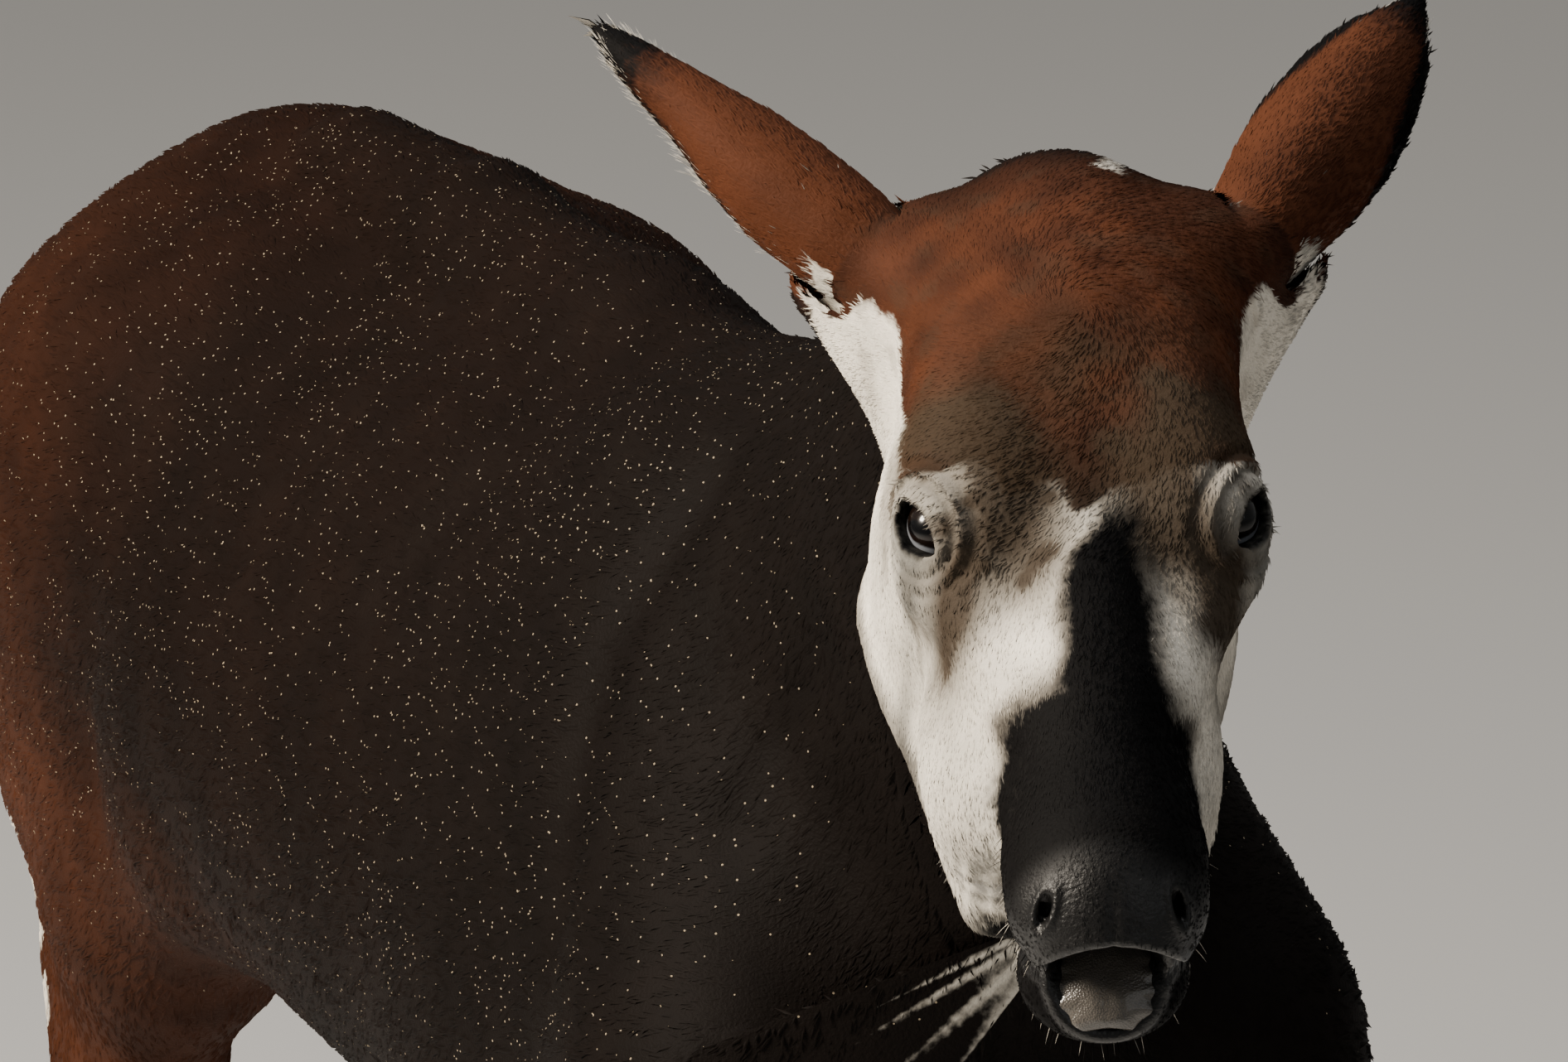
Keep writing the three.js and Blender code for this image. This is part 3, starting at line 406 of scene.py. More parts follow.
class Form:
    """The outer form of the skin, as a distance that is negative inside."""

    REACH = 40.0

    def __init__(self, depth: float, detail: bool) -> None:
        """Sets the coat's depth and whether the face's fine forms are cut."""
        self.shapes = trunk_shapes() + head_shapes() + leg_shapes() + Dock().shapes()
        self.creases = body_creases()
        self.depth = depth
        self.detail = detail

    def base(self, p: Array) -> Array:
        """The joined masses; a shape is only measured where it can reach."""
        value = np.full(len(p), 1e6)
        for shape in self.shapes:
            middle, reach = shape.bounds()
            offset = p - middle
            near = np.einsum("ij,ij->i", offset, offset) < (reach + shape.blend + self.REACH) ** 2
            if near.any():
                value[near] = blended(value[near], shape.distance(p[near]), shape.blend)
        return value

    def __call__(self, p: Array) -> Array:
        """Distance to the skin."""
        head = to_head(p)
        on_face = smooth(-40, 40, (p - HEAD_BASE) @ HEAD_BASE_AXIS)
        value = self.base(p) + self.depth * (1 - 0.55 * on_face)
        for crease in self.creases:
            value = value + crease.pressed(p)
        value = self.coronets(p, value)
        if self.detail:
            near = (on_face > 0.5) & (np.abs(value) < 60)
            value[near] = self.face(p[near], head[near], value[near])
        return value

    def coronets(self, p: Array, value: Array) -> Array:
        """Ends each leg at its coronet."""
        for y in (-36.0, 966.0):
            for x in (-122.5, 122.5):
                offset = p - (x, y, 64.0)
                below = -(offset @ np.array((0, 0.34, 0.94)))
                here = (np.linalg.norm(offset[:, :2], axis=1) < 90) & (p[:, 2] < 130)
                value = np.where(here, np.maximum(value, below), value)
        return value

    def face(self, p: Array, head: Array, value: Array) -> Array:
        """Lids, brow folds, nostrils, lips and the mouth."""
        for side in (-1, 1):
            value = lids(p, side, value)
            value = nostril(head, side, value)
        value = value + mouth_relief(head)
        return mouth_cut(head, value)


def blended(a: Array, b: Array, blend: float) -> Array:
    """Joins two distances with a soft fillet."""
    overlap = np.maximum(blend - np.abs(a - b), 0) / blend
    return np.minimum(a, b) - overlap * overlap * blend / 4


def carved(a: Array, b: Array, blend: float) -> Array:
    """Takes the second form out of the first with a rounded edge."""
    return -blended(-a, b, blend)


def lids(p: Array, side: int, value: Array) -> Array:
    """Raises the lids over the eyeball, opens them and lays the folds above them."""
    offset = p - EYE.centre(side)
    reach = np.linalg.norm(offset, axis=1)
    sight, long, short = EYE.axes(side)
    w, l, s = offset @ sight, offset @ long, offset @ short
    value = blended(value, reach - EYE.radius - EYE.lid, 12)
    upper = np.sign(s) > 0
    ring = np.hypot(l * 0.86, s)
    front = smooth(0, 10, w)
    value = value + front * 2.6 * np.where(upper, 1, 0.35) * np.exp(-(((ring - 25.5) / 2.6) ** 2))
    value = value + front * 1.8 * np.where(upper, 1, 0.5) * np.exp(-(((ring - 34) / 3.2) ** 2))
    value = value - front * 1.6 * np.where(upper, 1, 0.4) * np.exp(-(((ring - 29.5) / 2.6) ** 2))
    pit = np.maximum(np.maximum(EYE.gap(l, s), 5 - w), EYE.radius - 2.6 - reach)
    return carved(value, pit, 2.2)


def nostril(head: Array, side: int, value: Array) -> Array:
    """Sinks one comma-shaped nostril and raises its rim."""
    start, end = np.array((512.0, 50 * side, 13)), np.array((454.0, 23 * side, -5))
    along = end - start
    offset = head - start
    t = np.clip(offset @ along / (along @ along), 0, 1)
    offset = offset - t[:, None] * along
    way = unit(along)
    long = unit(np.cross(way, (0.2, 1, 0.15 * side)))
    wide = np.cross(way, long)
    l, w = offset @ long, offset @ wide
    l = l + 0.25 * np.abs(w)
    radius = np.hypot(l / 2.1, w)
    size = 4.6 * (1 - 0.45 * t)
    value = value - 1.6 * np.exp(-(((radius - size - 2.4) / 2.2) ** 2)) * (head[:, 0] > 440)
    beyond = np.abs(np.where((t > 0) & (t < 1), 0, (head - end) @ way))
    return carved(value, np.maximum(radius - size, beyond - 1), 2.5)


def mouth_line(head: Array) -> tuple:
    """Height of the line between the lips, half its gap, and the share of the way to the front."""
    t = (head[:, 0] - 352) / 168
    spread = np.clip(np.abs(head[:, 1]) / 70, 0, 1)
    middle = -60 - 14 * (1 - t) - 10 * spread**2
    half = 0.9 + 0.5 * np.clip(t, 0, 1)
    return middle, half, t


def mouth_gape(head: Array) -> Array:
    """Distance to the round opening between the parted lips."""
    radii = np.array((60.0, 40.0, 44.0))
    q = (head - (500, 0, -48)) / radii
    near = np.sqrt((q * q).sum(1))
    return near * (near - 1) / np.maximum(np.sqrt(((q / radii) ** 2).sum(1)), 1e-6)


def mouth_cut(head: Array, value: Array) -> Array:
    """Opens the mouth between the lips."""
    middle, half, t = mouth_line(head)
    slot = np.maximum(np.abs(head[:, 2] - middle) - half, (-t) * 168)
    return carved(carved(value, slot, 3.0), mouth_gape(head), 6.0)


def mouth_relief(head: Array) -> Array:
    """Full lips, the groove under the nose and the wrinkles at the corner of the mouth."""
    middle, _, t = mouth_line(head)
    above = head[:, 2] - middle
    here = smooth(-0.25, 0.1, t)
    lip = np.exp(-(((above - 5) / 5) ** 2)) + 0.8 * np.exp(-(((above + 5) / 5) ** 2))
    groove = np.exp(-((head[:, 1] / 2.2) ** 2)) * smooth(478, 500, head[:, 0]) * smooth(-52, -40, head[:, 2])
    folds = np.sin(head[:, 0] * 0.55 + head[:, 1] * 0.1) * np.exp(-((above / 22) ** 2))
    folds = folds * smooth(-0.3, 0, t) * smooth(0.6, 0.3, t)
    rim = np.exp(-(((mouth_gape(head) - 4) / 4) ** 2))
    return -1.5 * here * lip + 1.6 * groove + 0.6 * folds - 1.6 * rim


def settled(points: Array, form: Callable, rounds: int = 3, limit: float = 6.0) -> Array:
    """Moves points on to a form's surface, along its slope.

    Args:
        points: Body millimetres.
        form: Distance function of the skin.
        rounds: How often each point is moved.
        limit: The longest move of one round.

    Returns:
        The moved points.
    """
    p = points.copy()
    probe = 0.4
    for _ in range(rounds):
        value = form(p)
        slope = np.stack([(form(p + axis * probe) - value) / probe for axis in np.eye(3)], 1)
        step = -(value / np.maximum((slope * slope).sum(1), 0.25))[:, None] * slope
        length = np.linalg.norm(step, axis=1)
        p += step * np.minimum(limit / np.maximum(length, 1e-9), 1)[:, None]
    return p


@dataclass(frozen=True)
class EarForm:
    """The ear: a cup that wraps round its axis, open along the front."""

    length: float = 222
    root_radius: float = 32
    root: Vector3 = (22, 98, 26)
    aim_right: Vector3 = (0.7, 0.6, 0.4)
    aim_left: Vector3 = (0.5, 0.79, 0.36)
    back: Vector3 = (0.15, -0.55, 0.8)
    flat: Sequence[float] = (93, 84, 73, 63, 50, 34, 6)
    wrap_right: Sequence[float] = (168, 142, 124, 120, 136, 128, 70)
    wrap_left: Sequence[float] = (168, 138, 104, 82, 68, 58, 50)
    wall: float = 3.4
    depth: float = 1.2
    rows: int = 72
    arc: int = 44

    def axes(self, side: int) -> tuple:
        """Length, width across and the convex back."""
        aside, backward, upward = self.aim_right if side < 0 else self.aim_left
        length = unit(yawed((aside * side, backward, upward)))
        facing = yawed((self.back[0] * side, self.back[1], self.back[2]))
        back = unit(facing - length * (facing @ length))
        return length, back, np.cross(length, back)

    def centre(self, side: int) -> Array:
        """The middle of the ear's foot."""
        return on_head(self.root[0], self.root[1] * side, self.root[2])

    def wrap(self, side: int, t: Array) -> Array:
        """Half the angle that the ear wraps, in radians."""
        return np.radians(self.graded(self.wrap_right if side < 0 else self.wrap_left, t))

    def graded(self, values: Sequence[float], t: Array) -> Array:
        """A size along the ear, from its list."""
        return np.interp(np.clip(t, 0, 1) * (len(values) - 1), np.arange(len(values)), values)

    def surface(self, side: int, t: Array, u: Array, depth: Array) -> Array:
        """Points of the blade: t along it, u across its wrap, depth into its wall."""
        length, back, across = self.axes(side)
        wrap = self.wrap(side, t)
        radius = self.graded(self.flat, t) / wrap
        inner = radius - depth
        ripple = 1.2 * np.sin(t * 17 + side) * np.abs(u) ** 3
        bow = self.root_radius + 8 * np.sin(np.clip(t, 0, 1) * math.pi) - radius
        sideways = np.sin(u * wrap) * inner
        outward = np.cos(u * wrap) * inner + bow + ripple
        ridge = self.centre(side) + np.outer(self.length * t, length)
        return ridge + np.outer(sideways, across) + np.outer(outward, back)

    def loops(self, side: int) -> Array:
        """Rings that run out along the back and return along the inside."""
        rings = []
        for r in range(self.rows + 1):
            t = -0.16 + 1.16 * r / self.rows
            u = np.linspace(-1, 1, self.arc)
            ts = np.full(self.arc, max(t, 0.0))
            outer = self.surface(side, ts, u, np.full(self.arc, self.depth))
            wall = self.wall * (1 - 0.45 * max(t, 0)) * (1 - 0.55 * np.abs(u) ** 6)
            inside = self.surface(side, ts, u, self.depth + wall)
            chord = outer[0] + (outer[-1] - outer[0]) * ((u + 1) / 2)[:, None]
            bulge = self.axes(side)[1] * -4.0
            chord = chord + np.outer(1 - u * u, bulge)
            share = float(smooth(0.03, 0.24, np.array([t]))[0])
            inner = chord + (inside - chord) * share
            ring = np.concatenate([outer, inner[::-1]])
            if t < 0:
                ring = ring + self.axes(side)[0] * self.length * t
            rings.append(ring)
        return np.array(rings)


EAR = EarForm()


def place(p: Array) -> dict:
    """Soft shares of each region at body points: head, neck, legs, ears and tail."""
    ahead = (p - HEAD_BASE) @ HEAD_BASE_AXIS
    head = smooth(-30, 30, ahead)
    neck_way = unit((0.0, -183.0, 241.0))
    up_neck = (p - (0, -150, 1340)) @ neck_way
    neck = smooth(-120, 60, up_neck) * smooth(60, -60, p[:, 1]) * (1 - head)
    leg = smooth(905, 800, p[:, 2])
    tail = smooth(1146, 1160, p[:, 1] + 0.0) * smooth(1285, 1262, p[:, 2])
    ears = {}
    for side in (-1, 1):
        t, _, _, above = ear_place(p, side)
        along = t * EAR.length
        ears[side] = smooth(2, 22, along) * smooth(15, 8, np.abs(above + 3)) * (along < EAR.length + 20)
    return {"head": head, "neck": neck, "leg": leg, "tail": tail, "ears": ears}


def ripple(p: Array, size: float, seed: int) -> Array:
    """A smooth random field from about -1 to 1 with features of the given size."""
    random = np.random.default_rng(seed)
    total = np.zeros(len(p))
    for _ in range(7):
        way = unit(random.normal(size=3)) * (2 * math.pi / size) * random.uniform(0.6, 1.5)
        total += np.sin(p @ way + random.uniform(0, 6.3))
    return total / 2.6


class Markings:
    """The coat's markings as signed fields in millimetres, positive inside each colour."""

    def values(self, p: Array) -> dict:
        """Returns cream, black, warm and grey at body points."""
        parts = place(p)
        h = to_head(p)
        cream = self.leg_cream(p)
        black = self.leg_black(p)
        warm = self.warmth(p)
        grey = np.zeros(len(p))
        cream = np.where(parts["tail"] > 0.5, -30, cream)
        ear = np.maximum(parts["ears"][-1], parts["ears"][1])
        face = parts["head"] > 0.5
        ahead = (p - HEAD_BASE) @ HEAD_BASE_AXIS
        hind_edge = ahead - 16 + 7 * ripple(p, 45, 67) + 60 * smooth(-100, -140, h[:, 2])
        throat = self.throat(p)
        on_cheek = np.maximum(np.minimum(self.face_cream(h), hind_edge), np.minimum(throat, 30 - ahead))
        cream = np.where(face, on_cheek, np.where(parts["neck"] > 0.4, throat, cream))
        black = np.where(face, self.face_black(h), np.where(parts["neck"] > 0.4, -30, black))
        grey = np.where(face, self.face_grey(h), np.where(parts["neck"] > 0.4, 0.75, grey))
        for side in (-1, 1):
            offset = p - EYE.centre(side)
            _, long, short = EYE.axes(side)
            rim = 2.2 - EYE.gap(offset @ long, offset @ short)
            black = np.where(np.linalg.norm(offset, axis=1) < 33, np.maximum(black, rim * 2), black)
            on_ear = parts["ears"][side] > 0.5
            cream = np.where(on_ear, self.ear_cream(p, side), cream)
            black = np.where(on_ear, self.ear_black(p, side), black)
            grey = np.where(on_ear, 0.35, grey)
            warm = np.where(on_ear, 0.75, warm)
        smoke_and_shade = np.where(face, self.smoke_and_shade(h) * (1 - ear), 0.0)
        return {"cream": cream, "black": black, "warm": warm, "grey": grey, "smoke_and_shade": smoke_and_shade,
                "dust": self.dust(p) * (1 - parts["head"]) * (1 - ear), "bare": self.bare(h) * (1 - ear)}

    def dust(self, p: Array) -> Array:
        """How many specks of dust lie on the back and the flanks."""
        side = smooth(820, 1100, p[:, 2]) * smooth(-330, -120, p[:, 1]) * smooth(1080, 900, p[:, 1])
        return side * np.clip(0.42 + 0.16 * ripple(p, 240, 51), 0.05, 0.85)

    def bare(self, h: Array) -> Array:
        """The moist naked skin between the nostrils and on the lips."""
        a, _, o = h.T
        middle, _, t = mouth_line(h)
        nose = smooth(452, 486, a) * smooth(-40, -22, o)
        lips = smooth(0, 0.2, t) * smooth(9, 3, np.abs(o - middle))
        gape = smooth(12, 3, mouth_gape(h)) * smooth(400, 420, a)
        return np.clip(np.maximum(np.maximum(nose * 0.75, lips), gape), 0, 1)

    def smoke_and_shade(self, h: Array) -> Array:
        """The soft dark brown over the eyes and its fade beside the nose, with painted shade under the jaw
        and along the cheek's crease.
        """
        a, s, o = h.T
        side = np.abs(s)
        shift = 7 * ripple(h, 60, 61)
        brow = np.exp(-(((a + shift - 178) / 30) ** 2) - (np.abs((side - 70) / 36) ** 3))
        root = np.exp(-(np.abs((a + shift - 238) / 56) ** 3) - (np.abs((side - 38) / 36) ** 3)) * 0.97
        tear_mark_and_glint = np.exp(-(((a - 276) / 40) ** 2) - ((side - 78) / 18) ** 2) * 0.85
        fore = 0.7 * np.exp(-(((a + 2 * shift - 142) / 30) ** 2) - ((s - 4) / 46) ** 2)
        # Painted shade: a thin dark line where the cheek's crease turns the face to its side
        line = 237 - 0.34 * (o + 18)
        crease_shade = 0.45 * np.exp(-(((a - line) / 4) ** 2)) * smooth(84, 94, side)
        crease_shade = crease_shade * smooth(-125, -100, o) * smooth(10, -10, o)
        fleck = 0.3 * smooth(0.2, 1.2, ripple(h, 34, 62)) * smooth(330, 250, a)
        rim = 0.9 * np.exp(-((np.minimum(self.face_black(h), 0) / 9) ** 2)) * smooth(-20, 5, o)
        # Painted shade: darker on the underside of the head, where it lies in its own shade
        under = 0.5 * smooth(-96, -122, o)
        made = (1.3 * brow + root + tear_mark_and_glint + fleck) * smooth(-62, -10, o)
        return np.clip(np.maximum(np.maximum(made, rim * 0.8), fore) + under + crease_shade, 0, 0.97)

    def warmth(self, p: Array) -> Array:
        """How reddish the brown is: forehead, haunches and thighs more than the trunk."""
        h = to_head(p)
        parts = place(p)
        haunch = smooth(560, 930, p[:, 1]) * smooth(1500, 1200, p[:, 2])
        brow = smooth(262, 150, h[:, 0]) * smooth(-30, 10, h[:, 2]) * parts["head"]
        patchy = 0.05 * ripple(p, 190, 3) + 0.05 * ripple(p, 50, 4)
        ahead = (p - HEAD_BASE) @ HEAD_BASE_AXIS
        brow = brow * smooth(-20, 80, ahead) * (0.62 + 0.12 * ripple(p, 40, 5))
        thigh = smooth(1120, 960, p[:, 2]) * smooth(300, 600, p[:, 1])
        rump = (0.03 + 0.34 * haunch**1.5 + 0.25 * thigh) * (1 + 2.5 * patchy)
        return np.clip(rump * smooth(-100, 400, p[:, 1]) + brow, 0, 1)

    def stripes(self, p: Array) -> Array:
        """White bands round the haunches and the upper legs."""
        x, y, z = p.T
        wander = 26 * ripple(p, 260, 11) + 6 * ripple(p, 70, 12)
        hind_phase = (z + 0.30 * (y - 950) * (y > 500) + wander) / 47
        reach = y - (905 + 0.12 * np.abs(z - 820)) + 34 * ripple(p * (1, 1, 0.4), 90, 13)
        hind = smooth(-60, 70, reach) * smooth(1270, 1210, z) * smooth(500, 560, z) * (y > 500)
        front_phase = (z + wander) / 50
        outer = smooth(-40, 25, np.abs(x) - 110 + 20 * ripple(p, 80, 14))
        front = smooth(905, 850, z) * smooth(560, 610, z) * (y < 400) * outer
        return np.where(y > 500, self.band(hind_phase, hind), self.band(front_phase, front * 0.9))

    def band(self, phase: Array, share: Array) -> Array:
        """Bands that follow a phase, wider where the share is larger."""
        return 15 * (np.cos(2 * math.pi * phase) - (2.1 - 1.95 * share))

    def leg_cream(self, p: Array) -> Array:
        """White stockings below the stripes."""
        _, y, z = p.T
        front_top = 432 + 14 * ripple(p, 60, 21)
        hind_top = 520 + 18 * ripple(p, 60, 22)
        stocking = np.where(y < 400, front_top, hind_top) - z
        return np.maximum(self.stripes(p), np.minimum(stocking, z - 40))

    def leg_black(self, p: Array) -> Array:
        """Dark knee and fetlock bands and the line down the front of the foreleg."""
        x, y, z = p.T
        fetlock = 15 - np.abs(z - 168 + 5 * ripple(p, 50, 31))
        knee = np.where(y < 400, 24 - np.abs(z - 455 + 8 * ripple(p, 50, 32)), 15 - np.abs(z - 545))
        line = 7 + 0.012 * (z - 170) - np.abs(np.abs(x) - 122)
        line = np.where((y < 4) & (z > 160) & (z < 470), line, -20)
        coronet = 10 - np.abs(z - 74)
        return np.maximum(np.maximum(fetlock, knee), np.maximum(line, coronet))

    def throat(self, p: Array) -> Array:
        """The pale grey throat that runs from the jaw down the front of the neck."""
        below = -(p[:, 1] + 330 - 0.35 * (1500 - p[:, 2])) - 0.6 * np.abs(p[:, 0] + 10)
        top = smooth(1180, 1480, p[:, 2]) * 60 - 60
        front = -320 - p[:, 1] + 0.3 * (p[:, 2] - 1400)
        return np.minimum(below * 0.6 + top - 10 + 8 * ripple(p, 50, 41), front)

    def face_cream(self, h: Array) -> Array:
        """Pale cheeks, jaw and the sides of the nose."""
        a, s, o = h.T
        side = np.abs(s)
        edge = 4 * ripple(h, 40, 63)
        crown = 26 - o + 12 * smooth(120, 60, a) - 90 * smooth(70, 40, np.abs(s)) * smooth(60, 20, a)
        crown = crown - 70 * smooth(55, 30, a) * smooth(0, 14, o)
        brow = 40 - o + 0.5 * np.maximum(a - 190, 0)
        upper = np.where(a < 130, crown, crown + (brow - crown) * smooth(130, 160, a))
        beside = 0.55 * (a - 226) + 0.5 * (side - 30)
        lower = np.minimum(beside, 60)
        return upper + (np.maximum(upper, lower) - upper) * smooth(190, 225, a) + edge

    def face_black(self, h: Array) -> Array:
        """The black nose band, muzzle and lips; the band's middle is set off to the animal's left as painted
        shade.
        """
        a, s, o = h.T
        # Painted shade: the band's middle lies off towards the animal's left, so the black also covers shaded
        # tan beside it
        middle = 9 + 12 * smooth(270, 235, a)
        half = 11 + 14 * smooth(240, 285, a) + 6 * smooth(320, 350, a) + 2 * ripple(h, 30, 64)
        band = np.minimum(half - np.abs(s - middle), (a - 236) * 0.5)
        band = np.where(o > -10, band, -30)
        start = 350 + 0.95 * np.maximum(4 - o, 0) + 0.16 * np.maximum(np.abs(s) - 30, 0)
        muzzle = a - (start + 4 * ripple(h, 40, 65))
        chin = np.minimum(-97 - o, a - 392)
        middle, _, _ = mouth_line(h)
        lips = np.minimum(9 - np.abs(o - middle), (a - 398) * 0.5)
        return np.maximum(np.maximum(band, muzzle * 0.8), np.maximum(chin, lips))

    def face_grey(self, h: Array) -> Array:
        """Greyer round the eyes, on the jaw's edge and beside the muzzle, with a painted shade line along the
        side of the face.
        """
        a, s, o = h.T
        near_eye = np.exp(-(((a - 226) / 36) ** 2) - ((o - 24) / 36) ** 2)
        under = np.exp(-(((a - 285) / 60) ** 2) - ((np.abs(s) - 82) / 16) ** 2) * 0.35
        edge = smooth(330, 400, a) * 0.45 + smooth(-96, -120, o) * 0.35
        # Painted shade: a thin grey line where the side of the face turns back from the cheek
        crease_shade = np.exp(-(((np.abs(s) - 98) / 5) ** 2)) * smooth(220, 240, a) * smooth(310, 280, a) * 0.6
        return np.clip(0.05 + 0.75 * near_eye + under + edge + crease_shade + 0.06 * ripple(h, 30, 66), 0, 1)

    def ear_cream(self, p: Array, side: int) -> Array:
        """The pale inside of the ear and its foot in front."""
        t, u, inside, _ = ear_place(p, side)
        foot = 20 - np.abs(t * EAR.length - 6) + 5 * ripple(p, 25, 71)
        foot = np.minimum(foot, 38 - to_head(p)[:, 2])
        outside = np.where(np.abs(u) > 0.4, foot, -14.0)
        return np.where(inside, 14 - 30 * smooth(0.75, 1, np.abs(u)), outside)

    def ear_black(self, p: Array, side: int) -> Array:
        """The black rim and tip of the ear."""
        t, u, inside, _ = ear_place(p, side)
        tip = (t - (0.78 if side < 0 else 0.86)) * 60
        rim = (np.abs(u) - (0.97 - 0.35 * smooth(0.1, 0.75, t))) * 60
        rim = np.where(t < 0.16, -12.0, rim)
        return np.where(inside, rim - 8, np.maximum(tip, rim))


def ear_place(p: Array, side: int) -> tuple:
    """Where a point lies on an ear: shares of length and wrap, if in the cup, and height over the back."""
    length, back, across = EAR.axes(side)
    offset = p - EAR.centre(side)
    t = offset @ length / EAR.length
    wrap = EAR.wrap(side, t)
    radius = EAR.graded(EAR.flat, t) / wrap
    bow = EAR.root_radius + 8 * np.sin(np.clip(t, 0, 1) * math.pi) - radius
    a, b = offset @ across, offset @ back - bow
    u = np.arctan2(a, b) / wrap
    above = np.hypot(a, b) - radius
    return t, np.clip(u, -1.2, 1.2), above < -EAR.depth - 1.6, above


def lie(p: Array, normal: Array) -> tuple:
    """The way the hair lies along the skin, and how clear that way is, from 0.3 to 1."""
    parts = place(p)
    h = to_head(p)
    whorl = h - (108, 0, 70)
    fading = 0.9 * np.exp(-np.linalg.norm(whorl, axis=1) / 45)
    swirl = np.cross(whorl, np.array((0.0, 0.0, 1.0))) * fading[:, None]
    face = (units(whorl) + units(swirl + 1e-6) * (np.linalg.norm(swirl, axis=1) > 4)[:, None] * 0.8) @ HEAD
    trunk = np.stack([0 * p[:, 0], np.ones(len(p)), -0.22 - 0.5 * smooth(1300, 1000, p[:, 2])], 1)
    neck = np.tile(unit((0.04, 0.62, -0.78)), (len(p), 1))
    leg = np.tile(unit((0, 0.12, -1.0)), (len(p), 1))
    tail = np.tile(unit((0, 0.05, -1.0)), (len(p), 1))
    way = units(trunk)
    for part, target in (("neck", neck), ("leg", leg), ("tail", tail), ("head", face)):
        way = way + (target - way) * parts[part][:, None]
    for side in (-1, 1):
        way = way + (EAR.axes(side)[0] - way) * parts["ears"][side][:, None]
    way = way - (way * normal).sum(1)[:, None] * normal
    return units(way), 0.3 + 0.7 * smooth(0.1, 0.7, np.linalg.norm(way, axis=1))


def deselect() -> None:
    """Leaves no object selected."""
    for chosen in list(bpy.context.selected_objects):
        chosen.select_set(False)
    bpy.context.view_layer.objects.active = None


def activate(obj: bpy.types.Object) -> bpy.types.Object:
    """Makes one object the only one selected."""
    deselect()
    obj.select_set(True)
    bpy.context.view_layer.objects.active = obj
    return obj


def from_arrays(name: str, points: Array, faces: Array, smooth_faces: bool = True) -> bpy.types.Object:
    """Makes an object from arrays.

    Args:
        name: The piece's name.
        points: Points in metres of the frame.
        faces: Rows of point numbers, all of one length.
        smooth_faces: Whether its faces shade smoothly.

    Returns:
        The new object, linked to the scene.
    """
    mesh = bpy.data.meshes.new(name)
    faces = np.asarray(faces, np.int32)
    corners = faces.shape[1]
    mesh.vertices.add(len(points))
    mesh.vertices.foreach_set("co", np.asarray(points, np.float32).ravel())
    mesh.loops.add(faces.size)
    mesh.loops.foreach_set("vertex_index", faces.ravel())
    mesh.polygons.add(len(faces))
    mesh.polygons.foreach_set("loop_start", np.arange(0, faces.size, corners, dtype=np.int32))
    mesh.polygons.foreach_set("use_smooth", np.full(len(faces), smooth_faces))
    mesh.update(calc_edges=True)
    obj = bpy.data.objects.new(name, mesh)
    bpy.context.scene.collection.objects.link(obj)
    return obj


def points_of(obj: bpy.types.Object) -> Array:
    """The object's points in body millimetres."""
    co = np.empty(len(obj.data.vertices) * 3, np.float32)
    obj.data.vertices.foreach_get("co", co)
    return to_body(co.reshape(-1, 3).astype(float))


def put_points(obj: bpy.types.Object, points: Array) -> None:
    """Writes body points back to the object."""
    obj.data.vertices.foreach_set("co", to_frame(points).astype(np.float32).ravel())
    obj.data.update()


def put_values(obj: bpy.types.Object, values: dict) -> None:
    """Writes named values for each point."""
    for name, value in values.items():
        layer = obj.data.attributes.new(name, "FLOAT", "POINT")
        layer.data.foreach_set("value", np.asarray(value, np.float32))


def apply_modifier(obj: bpy.types.Object, kind: str, **settings: object) -> None:
    """Adds a modifier, sets it and applies it."""
    activate(obj)
    modifier = obj.modifiers.new(kind.title(), kind)
    for key, value in settings.items():
        setattr(modifier, key, value)
    bpy.ops.object.modifier_apply(modifier=modifier.name)


def joined(objects: Sequence[bpy.types.Object], name: str) -> bpy.types.Object:
    """Joins objects into the first and names it."""
    deselect()
    for obj in objects:
        obj.select_set(True)
    bpy.context.view_layer.objects.active = objects[0]
    if len(objects) > 1:
        bpy.ops.object.join()
    objects[0].name = objects[0].data.name = name
    return objects[0]


def copied_nodes(names: Sequence[str]) -> list:
    """Copies of solids of the frame with their doubles merged."""
    made = []
    for name in names:
        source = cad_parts[name]
        copy = bpy.data.objects.new(f"copy_{name}", source.data.copy())
        copy.data.materials.clear()
        bpy.context.scene.collection.objects.link(copy)
        activate(copy)
        bpy.ops.object.mode_set(mode="EDIT")
        bpy.ops.mesh.select_all(action="SELECT")
        bpy.ops.mesh.remove_doubles(threshold=2e-6)
        bpy.ops.object.mode_set(mode="OBJECT")
        made.append(copy)
    return made


def ring_tube(name: str, rings: Array) -> bpy.types.Object:
    """A closed tube through rings of points, closed at both ends by fans."""
    count, size = rings.shape[:2]
    points = np.concatenate([rings.reshape(-1, 3), rings[0].mean(0)[None], rings[-1].mean(0)[None]])
    index = np.arange(count * size).reshape(count, size)
    a, b = index[:-1], np.roll(index, -1, 1)[:-1]
    c, d = np.roll(index, -1, 1)[1:], index[1:]
    quads = np.stack([a, b, c, d], -1).reshape(-1, 4)
    triangles = np.concatenate([quads[:, [0, 1, 2]], quads[:, [0, 2, 3]]])
    first, last = count * size, count * size + 1
    cap = np.stack([np.roll(index[0], -1), index[0], np.full(size, first)], 1)
    end = np.stack([index[-1], np.roll(index[-1], -1), np.full(size, last)], 1)
    obj = from_arrays(name, to_frame(points), np.concatenate([triangles, cap, end]))
    activate(obj)
    bpy.ops.object.mode_set(mode="EDIT")
    bpy.ops.mesh.select_all(action="SELECT")
    bpy.ops.mesh.normals_make_consistent(inside=False)
    bpy.ops.object.mode_set(mode="OBJECT")
    return obj


class Paint:
    """Colour helpers for the finishes."""

    @staticmethod
    def linear(colour: int) -> tuple:
        """An sRGB hex colour as linear values with alpha."""
        channels = [((colour >> shift) & 255) / 255 for shift in (16, 8, 0)]
        return tuple(c / 12.92 if c <= 0.04045 else ((c + 0.055) / 1.055) ** 2.4 for c in channels) + (1.0,)


